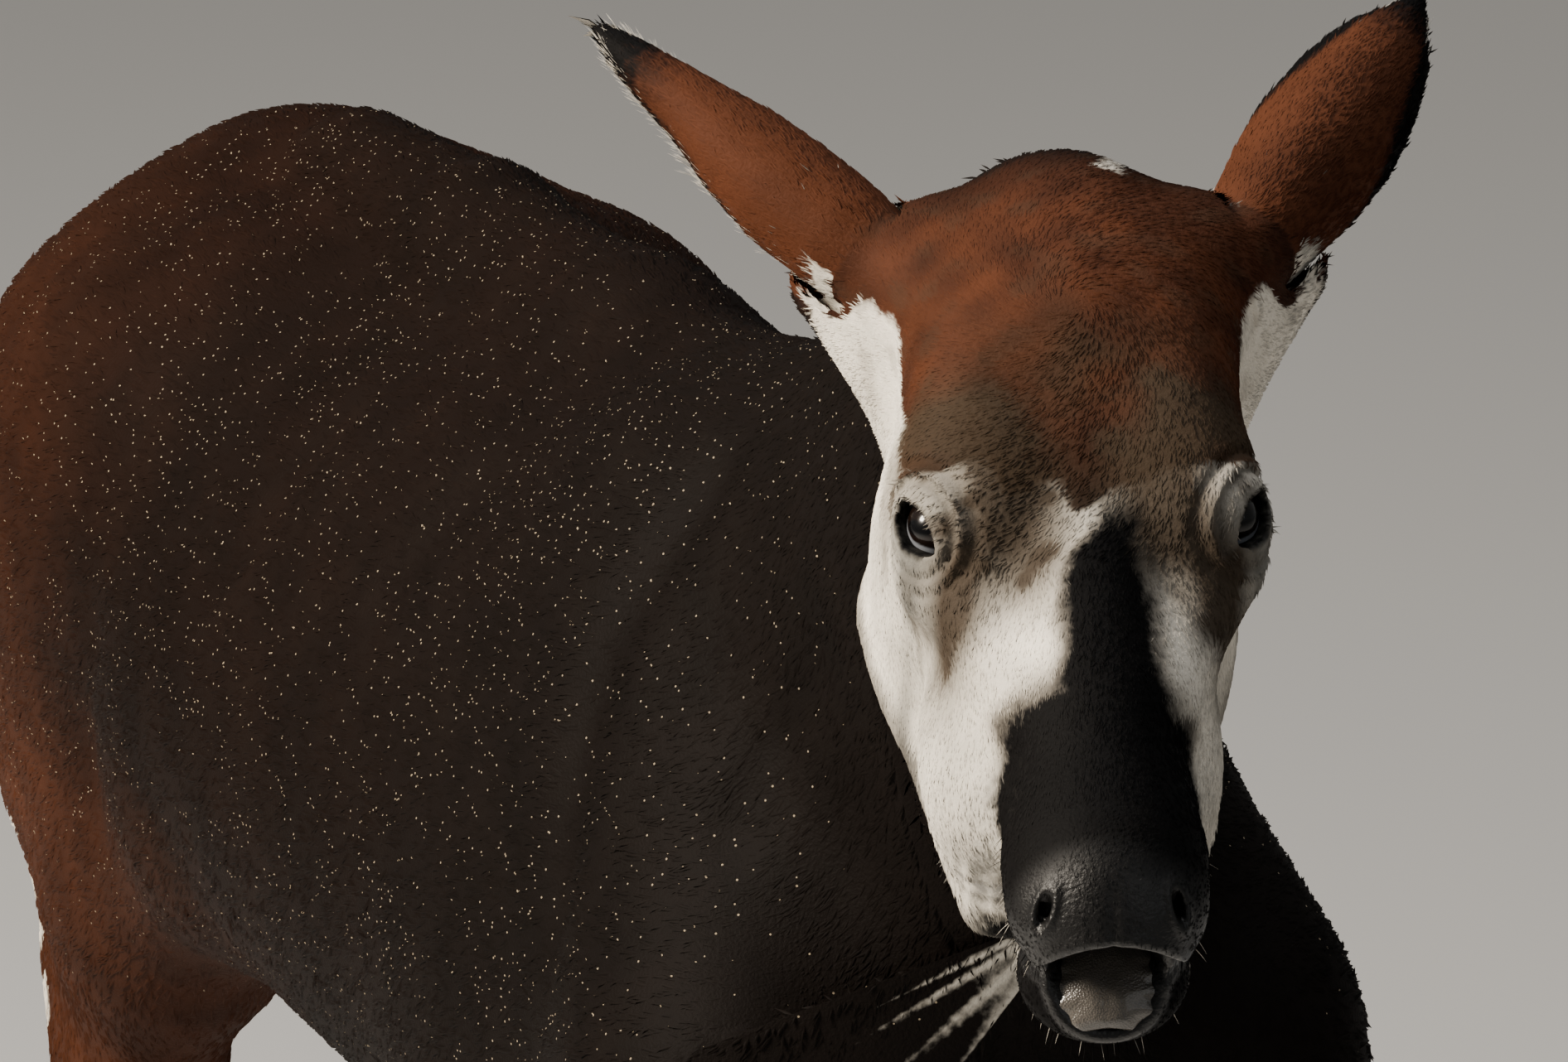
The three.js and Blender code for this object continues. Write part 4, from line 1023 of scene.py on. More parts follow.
def add_node(tree: bpy.types.NodeTree, kind: str, inputs: Optional[dict] = None,
             **settings: object) -> bpy.types.Node:
    """Adds one node.

    Args:
        tree: The node tree.
        kind: The node's type name.
        inputs: Values or sockets for its inputs, by name or number.
        settings: Properties of the node.

    Returns:
        The new node.
    """
    made = tree.nodes.new(kind)
    for key, value in settings.items():
        setattr(made, key, value)
    for key, value in (inputs or {}).items():
        if isinstance(value, bpy.types.NodeSocket):
            tree.links.new(value, made.inputs[key])
        else:
            made.inputs[key].default_value = value
    return made


def mixed(tree: bpy.types.NodeTree, factor: object, first: object, second: object,
          blend: str = "MIX") -> bpy.types.NodeSocket:
    """Mixes two colours and returns the colour's socket."""
    return add_node(tree, "ShaderNodeMix", {0: factor, 6: first, 7: second}, data_type="RGBA",
                    blend_type=blend).outputs[2]


def maths(tree: bpy.types.NodeTree, operation: str, first: object, second: object) -> bpy.types.NodeSocket:
    """Works on two values and returns the result's socket."""
    return add_node(tree, "ShaderNodeMath", {0: first, 1: second}, operation=operation).outputs[0]


def ranged(tree: bpy.types.NodeTree, value: object, low: float, high: float, to_low: float = 0.0,
           to_high: float = 1.0, kind: str = "LINEAR") -> bpy.types.NodeSocket:
    """Moves a value from one range to another and returns the result's socket."""
    return add_node(tree, "ShaderNodeMapRange", {0: value, 1: low, 2: high, 3: to_low, 4: to_high},
                    interpolation_type=kind).outputs[0]


def new_material(name: str) -> tuple:
    """A material with its tree cleared but for the output and a principled shader."""
    material = bpy.data.materials.new(name)
    material.use_nodes = True
    tree = material.node_tree
    tree.nodes.clear()
    output = tree.nodes.new("ShaderNodeOutputMaterial")
    shader = tree.nodes.new("ShaderNodeBsdfPrincipled")
    tree.links.new(shader.outputs[0], output.inputs[0])
    return material, tree, shader


@dataclass(frozen=True)
class CoatFinish:
    """Short velvet hair: chocolate to red-brown, with cream, grey and black markings."""

    chocolate: int = 0x0E0A08
    red_brown: int = 0x4F2C1B
    cream: int = 0xDDD6C9
    grey: int = 0x7C7A74
    # dark brown of the marks over the eyes, also used as painted shade under the jaw and along the cheek's
    # crease
    smoke_and_shade: int = 0x33291F
    black: int = 0x070606
    dust: int = 0x8C7F6B
    dust_mm: float = 4.6
    ragged_mm: float = 4.5
    clump_mm: float = 6.0
    patch_mm: float = 55.0
    hair_mm: float = 2.2
    cream_edge_mm: float = 4.0
    black_edge_mm: float = 6.0

    def mask(self, tree: bpy.types.NodeTree, value: object, shake: object,
             soft: float) -> bpy.types.NodeSocket:
        """A ragged edge where a signed field passes zero."""
        return ranged(tree, maths(tree, "ADD", value, shake), -soft, soft, kind="SMOOTHSTEP")

    def build(self, name: str, tufts: bool) -> bpy.types.Material:
        """The material of the skin under the hair, or of the tufts themselves."""
        material, tree, shader = new_material(name)
        place_node = add_node(tree, "ShaderNodeTexCoord")
        point = place_node.outputs["Object"]
        read = {key: add_node(tree, "ShaderNodeAttribute", attribute_name=key).outputs["Fac"]
                for key in ("cream", "black", "warm", "grey", "smoke_and_shade", "dust", "bare", "tone", "tip")}
        clump = add_node(tree, "ShaderNodeTexNoise",
                         {"Vector": point, "Scale": 1000 / self.clump_mm, "Detail": 3.0})
        broad = add_node(tree, "ShaderNodeTexNoise",
                         {"Vector": point, "Scale": 1000 / self.patch_mm, "Detail": 4.0})
        shake = maths(tree, "SUBTRACT", clump.outputs["Fac"], 0.5)
        shake = maths(tree, "MULTIPLY", shake, 2 * self.ragged_mm)
        in_cream = self.mask(tree, read["cream"], shake, self.cream_edge_mm)
        in_black = self.mask(tree, read["black"], shake, self.black_edge_mm)
        brown = mixed(tree, read["warm"], Paint.linear(self.chocolate), Paint.linear(self.red_brown))
        pale = mixed(tree, read["grey"], Paint.linear(self.cream), Paint.linear(self.grey))
        colour = mixed(tree, in_cream, brown, pale)
        # Darkens towards that brown: real marks round the eyes, and painted shade under the jaw and in the
        # cheek's crease
        colour = mixed(tree, read["smoke_and_shade"], colour, Paint.linear(self.smoke_and_shade))
        colour = mixed(tree, in_black, colour, Paint.linear(self.black))
        shade = ranged(tree, broad.outputs["Fac"], 0.3, 0.7, 0.82, 1.14)
        colour = mixed(tree, 1.0, colour, shade, "MULTIPLY")
        if tufts:
            for key, low, high in (("tone", 0.84, 1.12), ("tip", 0.9, 1.1)):
                colour = mixed(tree, 1.0, colour, ranged(tree, read[key], 0.0, 1.0, low, high), "MULTIPLY")
        else:
            fine = add_node(tree, "ShaderNodeTexNoise",
                            {"Vector": point, "Scale": 1000 / self.hair_mm, "Detail": 4.0})
            bump = add_node(tree, "ShaderNodeBump",
                            {"Height": fine.outputs["Fac"], "Strength": 0.5, "Distance": 0.0012})
            tree.links.new(bump.outputs[0], shader.inputs["Normal"])
        speck = add_node(tree, "ShaderNodeTexVoronoi",
                         {"Vector": point, "Scale": 1000 / self.dust_mm, "Randomness": 1.0})
        small = maths(tree, "LESS_THAN", speck.outputs["Distance"], 0.15)
        chance = add_node(tree, "ShaderNodeSeparateColor", {0: speck.outputs["Color"]})
        some = maths(tree, "LESS_THAN", chance.outputs[0], read["dust"])
        colour = mixed(tree, maths(tree, "MULTIPLY", small, some), colour, Paint.linear(self.dust))
        tree.links.new(colour, shader.inputs["Base Color"])
        for name_of, dry, wet in (("Roughness", 0.66, 0.3), ("Specular IOR Level", 0.05, 0.5)):
            tree.links.new(ranged(tree, read["bare"], 0.0, 1.0, dry, wet), shader.inputs[name_of])
        return material


class Skin:
    """The one skin over trunk, neck, head, ears, legs and dock."""

    # the cut between neck and head lies this far from the head's base, and the body stops short of it
    SEAM = -62.0
    SEAM_GAP = 12.0
    FLESH = ("torso", "neck", "front_leg_right", "front_leg_left", "hind_leg_right", "hind_leg_left")
    NODES = FLESH + ("head", "ear_right", "ear_left", "tail")

    def __init__(self, body_voxel: float = 9.5, head_voxel: float = 3.1, coat: float = 3.0) -> None:
        """Sets the sizes of the mesh and the depth of the coat, in millimetres."""
        self.body_voxel = body_voxel
        self.head_voxel = head_voxel
        self.body_form = Form(coat, False)
        self.head_form = Form(coat, True)
        self.object: bpy.types.Object = None

    def build(self) -> bpy.types.Object:
        """Builds the whole skin."""
        body = self.body_part()
        head = self.head_part()
        self.cut(body, HEAD_BASE + SEAM_AXIS * (self.SEAM - self.SEAM_GAP), SEAM_AXIS)
        self.add_ears(head)
        self.uncap(head, HEAD_BASE + SEAM_AXIS * self.SEAM)
        skin = joined([body, head], "skin")
        self.bridge(skin)
        self.refine(skin)
        self.object = skin
        return skin

    def body_part(self) -> bpy.types.Object:
        """Trunk, neck, legs and dock in one mesh on the body form."""
        dock = Dock()
        stops = np.linspace(-0.03, dock.ends, 16)
        turns = np.linspace(0, 2 * math.pi, 16, endpoint=False)
        circle = np.stack([np.cos(turns), np.sin(turns), 0 * turns], 1)
        rings = np.array([dock.point(t)[0] + circle * float(dock.radius(max(t, 0))) for t in stops])
        tube = ring_tube("dock", rings)
        body = joined(copied_nodes(self.FLESH) + [tube], "body_part")
        apply_modifier(body, "REMESH", mode="VOXEL", voxel_size=self.body_voxel * MILLIMETRE)
        body = self.largest(body)
        points = points_of(body)
        behind = (points - HEAD_BASE) @ SEAM_AXIS < -12
        put_points(body, np.where(behind[:, None], settled(points, self.body_form, 3, 9), points))
        return body

    def largest(self, obj: bpy.types.Object) -> bpy.types.Object:
        """Keeps only the largest closed surface."""
        activate(obj)
        bpy.ops.mesh.separate(type="LOOSE")
        parts = sorted(bpy.context.selected_objects, key=lambda part: len(part.data.vertices))
        for part in parts[:-1]:
            bpy.data.objects.remove(part)
        return parts[-1]

    def head_part(self) -> bpy.types.Object:
        """The head in one mesh on the head form."""
        head = joined(copied_nodes(("head", "neck")), "head_part")
        apply_modifier(head, "REMESH", mode="VOXEL", voxel_size=self.head_voxel * MILLIMETRE)
        head = self.largest(head)
        self.cut(head, HEAD_BASE + SEAM_AXIS * self.SEAM, -SEAM_AXIS, True)
        points = points_of(head)
        behind = (points - HEAD_BASE) @ SEAM_AXIS - self.SEAM
        moved = settled(points, self.head_form, 4, 2.5)
        shift = (moved - HEAD_BASE) @ SEAM_AXIS - self.SEAM
        moved = moved - np.outer(np.where(behind < 0.02, shift, 0), SEAM_AXIS)
        put_points(head, moved)
        return head

    def add_ears(self, head: bpy.types.Object) -> None:
        """Joins the ears to the head and rounds their feet."""
        for side in (-1, 1):
            ear = ring_tube("ear_part", EAR.loops(side))
            apply_modifier(head, "BOOLEAN", operation="UNION", object=ear, solver="MANIFOLD")
            bpy.data.objects.remove(ear)
            LOG.info("ear joined, the head has %d points", len(head.data.vertices))
        self.soften_ear_feet(head)

    def soften_ear_feet(self, head: bpy.types.Object) -> None:
        """Rounds the fillet where each ear leaves the head."""
        points = points_of(head)
        edges = np.empty(len(head.data.edges) * 2, np.int32)
        head.data.edges.foreach_get("vertices", edges)
        edges = edges.reshape(-1, 2)
        share = np.zeros(len(points))
        for side in (-1, 1):
            length, _, _ = EAR.axes(side)
            offset = points - EAR.centre(side)
            along = offset @ length
            radial = np.linalg.norm(offset - np.outer(along, length), axis=1)
            share = np.maximum(share, smooth(34, 12, np.abs(along + 2)) * smooth(60, 44, radial))
        for _ in range(14):
            total, count = np.zeros_like(points), np.zeros(len(points))
            for a, b in ((0, 1), (1, 0)):
                np.add.at(total, edges[:, a], points[edges[:, b]])
                np.add.at(count, edges[:, a], 1)
            mean = total / np.maximum(count, 1)[:, None]
            points = points + (mean - points) * (0.6 * share)[:, None]
        put_points(head, points)

    def uncap(self, obj: bpy.types.Object, point: Array) -> None:
        """Takes away the flat cap in a plane through the point."""
        mesh = bmesh.new()
        mesh.from_mesh(obj.data)
        origin, normal = Vector(to_frame(point)), Vector(SEAM_AXIS)
        cap = [f for f in mesh.faces if all(abs((v.co - origin).dot(normal)) < 2e-5 for v in f.verts)]
        bmesh.ops.delete(mesh, geom=cap, context="FACES")
        mesh.to_mesh(obj.data)
        mesh.free()

    def cut(self, obj: bpy.types.Object, point: Array, normal: Array, fill: bool = False) -> None:
        """Removes what lies on the normal's side of a plane."""
        activate(obj)
        bpy.ops.object.mode_set(mode="EDIT")
        bpy.ops.mesh.select_all(action="SELECT")
        bpy.ops.mesh.bisect(plane_co=to_frame(point), plane_no=normal, clear_outer=True, use_fill=fill)
        bpy.ops.object.mode_set(mode="OBJECT")

    def bridge(self, skin: bpy.types.Object) -> None:
        """Joins the open edges of neck and head."""
        activate(skin)
        bpy.ops.object.mode_set(mode="EDIT")
        bpy.ops.mesh.select_mode(type="EDGE")
        bpy.ops.mesh.select_all(action="DESELECT")
        bpy.ops.mesh.select_non_manifold(extend=False, use_wire=False, use_multi_face=False,
                                         use_non_contiguous=False, use_verts=False, use_boundary=True)
        bpy.ops.mesh.bridge_edge_loops()
        bpy.ops.mesh.select_all(action="SELECT")
        bpy.ops.mesh.quads_convert_to_tris()
        bpy.ops.mesh.normals_make_consistent(inside=False)
        bpy.ops.object.mode_set(mode="OBJECT")

    def refine(self, skin: bpy.types.Object) -> None:
        """Halves the mesh round eyes and nostrils and sets it on the form again."""
        spots = [(EYE.centre(side), radius) for radius in (40.0, 29.0) for side in (-1, 1)]
        spots += [(on_head(484, 32 * side, 6), 24.0) for side in (-1, 1)]
        for centre, radius in spots:
            mesh = bmesh.new()
            mesh.from_mesh(skin.data)
            middle = to_frame(centre)
            reach = radius * MILLIMETRE
            edges = {e for f in mesh.faces if (np.array(f.calc_center_median()) - middle).dot(
                np.array(f.calc_center_median()) - middle) < reach * reach for e in f.edges}
            bmesh.ops.subdivide_edges(mesh, edges=list(edges), cuts=1)
            bmesh.ops.triangulate(mesh, faces=[f for f in mesh.faces if len(f.verts) > 3])
            mesh.to_mesh(skin.data)
            mesh.free()
            points = points_of(skin)
            near = np.linalg.norm(points - centre, axis=1) < radius + 3
            points[near] = settled(points[near], self.head_form, 4, 1.2)
            put_points(skin, points)

    def dress(self, material: bpy.types.Material) -> None:
        """Gives the skin its marks, its material and its place in the frame."""
        skin = self.object
        put_values(skin, Markings().values(points_of(skin)))
        activate(skin)
        bpy.ops.object.shade_smooth()
        skin.data.materials.append(material)
        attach(skin, "root")
        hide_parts(*self.NODES)


@dataclass(frozen=True)
class Nap:
    """How the hair grows in one region."""

    per_cm2: float
    length: float
    width: float
    lift: float


class Region(Enum):
    """Regions of the coat with their hair, sizes in millimetres."""

    TRUNK = Nap(2.9, 15.0, 2.1, 0.07)
    NECK = Nap(4.6, 12.0, 1.8, 0.07)
    LEG = Nap(3.4, 10.0, 1.8, 0.08)
    HEAD = Nap(15.0, 6.5, 0.95, 0.08)
    MUZZLE = Nap(10.0, 3.0, 0.8, 0.10)
    EAR = Nap(14.0, 7.5, 1.0, 0.10)
    CUP = Nap(6.0, 16.0, 0.9, 0.40)
    TAIL = Nap(7.0, 14.0, 1.7, 0.14)


class Coat:
    """Tufts over the whole skin."""

    PIECE_LIMIT = 32000

    def __init__(self, skin: bpy.types.Object, seed: int = 5) -> None:
        """Reads the skin's triangles."""
        self.random = np.random.default_rng(seed)
        mesh = skin.data
        mesh.calc_loop_triangles()
        self.points = points_of(skin)
        corners = np.empty(len(mesh.loop_triangles) * 3, np.int32)
        mesh.loop_triangles.foreach_get("vertices", corners)
        self.triangles = corners.reshape(-1, 3)
        normals = np.empty(len(mesh.vertices) * 3, np.float32)
        mesh.vertices.foreach_get("normal", normals)
        self.normals = normals.reshape(-1, 3).astype(float)

    def regions(self, centres: Array) -> Array:
        """The region number of each triangle's centre."""
        parts = place(centres)
        h = to_head(centres)
        which = np.zeros(len(centres), int)
        number = list(Region).index
        which[parts["neck"] > 0.5] = number(Region.NECK)
        which[parts["leg"] > 0.5] = number(Region.LEG)
        which[parts["head"] > 0.5] = number(Region.HEAD)
        which[(parts["head"] > 0.5) & (h[:, 0] > 430)] = number(Region.MUZZLE)
        for side in (-1, 1):
            on_ear = parts["ears"][side] > 0.5
            _, _, inside, _ = ear_place(centres, side)
            which[on_ear] = number(Region.EAR)
            which[on_ear & inside] = number(Region.CUP)
        which[parts["tail"] > 0.5] = number(Region.TAIL)
        return which

    def bare(self, p: Array) -> Array:
        """Where no hair grows: lid rims, lips, nostrils, the wet nose and inside the mouth."""
        h = to_head(p)
        off = np.zeros(len(p), bool)
        for side in (-1, 1):
            _, long, short = EYE.axes(side)
            offset = p - EYE.centre(side)
            l, s = offset @ long, offset @ short
            almond = np.hypot(l / (EYE.half_length + 3), s / (EYE.half_height + 3.2)) < 1
            off |= almond & (np.linalg.norm(offset, axis=1) < 34)
            nose = np.linalg.norm(h - (492, 31 * side, 8), axis=1)
            off |= nose < 13
        middle, half, t = mouth_line(h)
        off |= (t > 0) & (np.abs(h[:, 2] - middle) < half + 3.5) & (h[:, 0] < 540) & (np.abs(h[:, 1]) < 70)
        off |= (h[:, 0] > 400) & (mouth_gape(h) < 5)
        off |= (p[:, 2] < 70)
        return off

    def build(self, material: bpy.types.Material) -> list:
        """Scatters, shapes and joins all tufts."""
        corners = self.points[self.triangles]
        centres = corners.mean(1)
        first, second = corners[:, 1] - corners[:, 0], corners[:, 2] - corners[:, 0]
        area = np.linalg.norm(np.cross(first, second), axis=1) / 200
        which = self.regions(centres)
        naps = [region.value for region in Region]
        density = np.array([nap.per_cm2 for nap in naps])[which]
        counts = self.random.poisson(density * area)
        rows = np.repeat(np.arange(len(which)), counts)
        weights = self.random.dirichlet((1, 1, 1), len(rows))
        root = (corners[rows] * weights[:, :, None]).sum(1)
        normal = units((self.normals[self.triangles[rows]] * weights[:, :, None]).sum(1))
        keep = ~self.bare(root)
        root, normal, kind = root[keep], normal[keep], which[rows][keep]
        return self.tufts(root, normal, kind, naps, material)

    def tufts(self, root: Array, normal: Array, kind: Array, naps: list,
              material: bpy.types.Material) -> list:
        """Shapes a tuft at each root and joins them in pieces."""
        count = len(root)
        order = np.argsort(kind, kind="stable")
        root, normal, kind = root[order], normal[order], kind[order]
        length = np.array([nap.length for nap in naps])[kind] * self.vary(0.3, count)
        width = np.array([nap.width for nap in naps])[kind] * self.vary(0.3, count)
        lift = np.array([nap.lift for nap in naps])[kind] * self.vary(0.6, count)
        way, clear = lie(root, normal)
        length, lift = length * clear, lift * clear
        side = np.cross(normal, way)
        way = units(way + side * (0.22 * self.random.normal(size=count))[:, None])
        side = np.cross(normal, way)
        values = Markings().values(root)
        values["tone"] = self.random.random(count)
        made = []
        for first in range(0, count, self.PIECE_LIMIT):
            part = slice(first, min(first + self.PIECE_LIMIT, count))
            piece = self.piece(f"coat_{len(made) + 1:02d}", root[part], normal[part], way[part], side[part],
                               length[part], width[part], lift[part], {k: v[part] for k, v in values.items()})
            piece.data.materials.append(material)
            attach(piece, "root")
            made.append(piece)
        return made

    def vary(self, spread: float, count: int) -> Array:
        """Random factors round one."""
        return 1 + spread * self.random.uniform(-1, 1, count)

    def piece(self, name: str, root: Array, normal: Array, way: Array, side: Array, length: Array,
              width: Array, lift: Array, values: dict) -> bpy.types.Object:
        """One joined piece of tufts, each a slim closed spindle of six faces."""
        length, width, lift = length[:, None], width[:, None], lift[:, None]
        middle = root + way * (0.42 * length) - normal * 0.12
        spindle = np.stack([
            root - normal * 0.9 - way * (0.12 * length),
            middle + side * (width / 2),
            middle - side * (width / 2),
            middle + normal * (0.42 * length * lift + 0.22 * width + 0.3),
            root + way * length + normal * (0.85 * length * lift),
        ], 1)
        pattern = np.array(((0, 3, 1), (0, 2, 3), (0, 1, 2), (4, 1, 3), (4, 3, 2), (4, 2, 1)))
        faces = (np.arange(len(root)) * 5)[:, None, None] + pattern[None]
        obj = from_arrays(name, to_frame(spindle.reshape(-1, 3)), faces.reshape(-1, 3))
        turned = np.stack([normal, units(normal + 0.55 * side), units(normal - 0.55 * side), normal,
                           units(normal + 0.25 * way)], 1)
        obj.data.normals_split_custom_set_from_vertices(turned.reshape(-1, 3))
        put_values(obj, {key: np.repeat(value, 5) for key, value in values.items()})
        put_values(obj, {"tip": np.tile((0.0, 0.5, 0.5, 0.6, 1.0), len(root))})
        patch = np.array(((0.0, -0.0012), (0.0012, 0.0), (-0.0012, 0.0), (0.0, 0.0004), (0.0, 0.0014)))
        write_bake_map(obj, bake_place(root, normal), patch, pattern)
        return obj


class Strands:
    """Long hairs: tapered three-sided tubes that bend along their length."""

    SEGMENTS = 4

    def build(self, name: str, root: Array, way: Array, bend: Array, width: Array, normal: Array,
              values: dict, material: bpy.types.Material) -> bpy.types.Object:
        """Makes all hairs of one group as one piece.

        Args:
            name: The piece's name.
            root: Roots in body millimetres.
            way: Where each hair goes, as long as the hair.
            bend: How far its tip is bent away from that way.
            width: Width at the root.
            normal: The skin's normal at the root.
            values: Colour values for each hair.
            material: Its finish.

        Returns:
            The piece.
        """
        count, n = len(root), self.SEGMENTS
        side = units(np.cross(way, normal + 1e-4))
        high = units(np.cross(side, way))
        rings = []
        for step in range(n):
            s = step / n
            centre = root + way * s + bend * s * s
            girth = (width * (1 - 0.8 * s) / 2)[:, None]
            rings += [centre + girth * (side * c + high * d) for c, d in ((1, -0.5), (-1, -0.5), (0, 0.8))]
        points = np.stack([root - way * 0.02] + rings + [root + way + bend], 1)
        last = 3 * n + 1
        faces = [(0, 1 + (c + 1) % 3, 1 + c) for c in range(3)]
        for step in range(n - 1):
            for c in range(3):
                a, b = 1 + 3 * step + c, 1 + 3 * step + (c + 1) % 3
                faces += [(a, b, b + 3), (a, b + 3, a + 3)]
        faces += [(last - 3 + c, last - 3 + (c + 1) % 3, last) for c in range(3)]
        pattern = np.array(faces)
        made = (np.arange(count) * (last + 1))[:, None, None] + pattern[None]
        obj = from_arrays(name, to_frame(points.reshape(-1, 3)), made.reshape(-1, 3))
        activate(obj)
        bpy.ops.object.mode_set(mode="EDIT")
        bpy.ops.mesh.select_all(action="SELECT")
        bpy.ops.mesh.normals_make_consistent(inside=False)
        bpy.ops.object.mode_set(mode="OBJECT")
        put_values(obj, {key: np.repeat(value, last + 1) for key, value in values.items()})
        tips = np.concatenate([(0.0,), np.repeat(np.arange(n) / n, 3), (1.0,)])
        put_values(obj, {"tip": np.tile(tips, count)})
        patch = np.full((last + 1, 2), 0.0)
        patch[:, 0] = 0.0012 * np.cos(np.arange(last + 1) * 2.1)
        patch[:, 1] = np.linspace(-0.0013, 0.0013, last + 1)
        corners = np.empty(len(obj.data.loops), np.int32)
        obj.data.loops.foreach_get("vertex_index", corners)
        spots = bake_place(root, normal)[corners // (last + 1)] + patch[corners % (last + 1)]
        layer = obj.data.uv_layers.new(name="OFBake")
        layer.data.foreach_set("uv", np.clip(spots, 0, 1).astype(np.float32).ravel())
        obj.data.materials.append(material)
        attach(obj, "root")
        return obj


class LongHair:
    """The tail's tassel, the ears' fringes, the lashes and the whiskers."""

    def __init__(self, material: bpy.types.Material, seed: int = 8) -> None:
        """Keeps the finish and the source of chance."""
        self.material = material
        self.random = np.random.default_rng(seed)
        self.strands = Strands()

    def colours(self, count: int, cream: float, black: float, grey: float, warm: float = 0.3) -> dict:
        """The same colour for each hair of a group, with a tone of its own."""
        made = {"cream": cream, "black": black, "grey": grey, "warm": warm}
        values = {key: np.full(count, value) for key, value in made.items()}
        values["tone"] = self.random.random(count)
        values.update({key: np.zeros(count) for key in ("smoke_and_shade", "dust", "bare")})
        return values

    def spread(self, count: int, low: float, high: float) -> Array:
        """Random values between two limits, as a column."""
        return self.random.uniform(low, high, count)[:, None]

    def build(self) -> list:
        """Makes every group."""
        made = [self.tassel()]
        made += [make(side) for make in (self.fringe, self.lashes) for side in (-1, 1)]
        return made + [self.whiskers()]

    def tassel(self, count: int = 2600) -> bpy.types.Object:
        """The dark tuft that hangs round the end of the tail."""
        dock = Dock()
        t = self.random.uniform(0.52, 1.0, count) ** 0.8
        turn = self.random.uniform(0, 2 * math.pi, count)
        out = np.stack([np.cos(turn), np.sin(turn), 0 * turn], 1)
        root = dock.point(t) + out * (dock.radius(t) * np.clip((1.12 - t) * 3, 0.15, 1))[:, None] * 0.7
        length = self.spread(count, 70, 118) * (1 - 0.2 * (t < 0.62))[:, None]
        way = out * self.spread(count, 4, 20) - UP * length
        bend = -out * self.spread(count, 6, 20) + self.random.normal(size=(count, 3)) * (5, 5, 2)
        return self.strands.build("tail_tassel", root, way, bend, self.random.uniform(1.0, 1.9, count), out,
                                  self.colours(count, -30, 12, 0.2), self.material)

    def fringe(self, side: int, count: int = 1300) -> bpy.types.Object:
        """Pale hair along the edges of the ear and in its cup."""
        t = self.random.uniform(0.05, 0.94, count)
        edge = np.sign(self.random.uniform(-1, 1, count))
        edge = edge * (1 - np.abs(self.random.normal(size=count)) * 0.13)
        depth = np.full(count, EAR.depth + EAR.wall * 0.75)
        root = EAR.surface(side, t, edge, depth)
        length_way, back, _ = EAR.axes(side)
        inward = EAR.surface(side, t, edge * 0.8, depth) - root
        size = self.spread(count, 7, 16)
        stray = self.random.normal(size=(count, 3)) * 0.16
        way = units(units(inward) * 0.9 + length_way * 0.75 - back * 0.4 + stray) * size
        bend = length_way * self.spread(count, 1, 7)
        return self.strands.build(f"ear_fringe_{'right' if side < 0 else 'left'}", root, way, bend,
                                  self.random.uniform(0.4, 0.65, count), -np.tile(back, (count, 1)),
                                  self.colours(count, 20, -30, 0.45), self.material)

    def lashes(self, side: int, count: int = 90) -> bpy.types.Object:
        """Dark lashes on the upper lid and a few short ones below."""
        sight, long, short = EYE.axes(side)
        upper = self.random.random(count) < 0.75
        l = self.random.uniform(-0.9, 0.9, count) * EYE.half_length
        share = l / EYE.half_length
        edge = EYE.half_height * np.sqrt(1 - share**2) * (1 - 0.3 * np.abs(share))
        s = np.where(upper, 1, -1) * (edge + 1.6)
        w = np.sqrt(np.maximum((EYE.radius + 2.2) ** 2 - l * l - s * s, 9))
        root = EYE.centre(side) + np.outer(l, long) + np.outer(s, short) + np.outer(w, sight)
        size = np.where(upper, self.random.uniform(8, 14, count), self.random.uniform(3, 6, count))[:, None]
        way = (sight + np.outer(np.where(upper, 0.35, -0.6), short) + np.outer(l * 0.02, long)) * size * 0.8
        way = way + self.random.normal(size=(count, 3)) * 0.7
        bend = np.outer(np.where(upper, -0.35, -0.1), short) * size
        return self.strands.build(f"lashes_{'right' if side < 0 else 'left'}", root, way, bend,
                                  self.random.uniform(0.45, 0.75, count), np.tile(sight, (count, 1)),
                                  self.colours(count, -30, 20, 0.2), self.material)

    def whiskers(self, count: int = 170) -> bpy.types.Object:
        """Short stiff bristles on the lips and the chin."""
        form = Form(3.0, True)
        along = self.random.uniform(395, 505, count)
        aside = self.random.uniform(-46, 46, count)
        chin = self.random.random(count) < 0.55
        guess = np.stack([along, aside, np.where(chin, -112.0, -34.0)], 1)
        guess[~chin, 1] = np.sign(aside[~chin]) * self.random.uniform(40, 52, (~chin).sum())
        root = settled(HEAD_ORIGIN + guess @ HEAD, form, 6, 12)
        probe = 0.5
        value = form(root)
        normal = units(np.stack([(form(root + axis * probe) - value) / probe for axis in np.eye(3)], 1))
        size = self.spread(count, 5, 13)
        way = (normal * 0.75 + HEAD[0] * 0.6 + self.random.normal(size=(count, 3)) * 0.18) * size
        bend = HEAD[0] * size * 0.2
        values = self.colours(count, -30, -30, 0.3)
        values["cream"] = np.where(self.random.random(count) < 0.3, 20.0, -30.0)
        values["black"] = np.where(values["cream"] < 0, 20.0, -30.0)
        width = self.random.uniform(0.35, 0.6, count)
        return self.strands.build("whiskers", root, way, bend, width, normal, values, self.material)


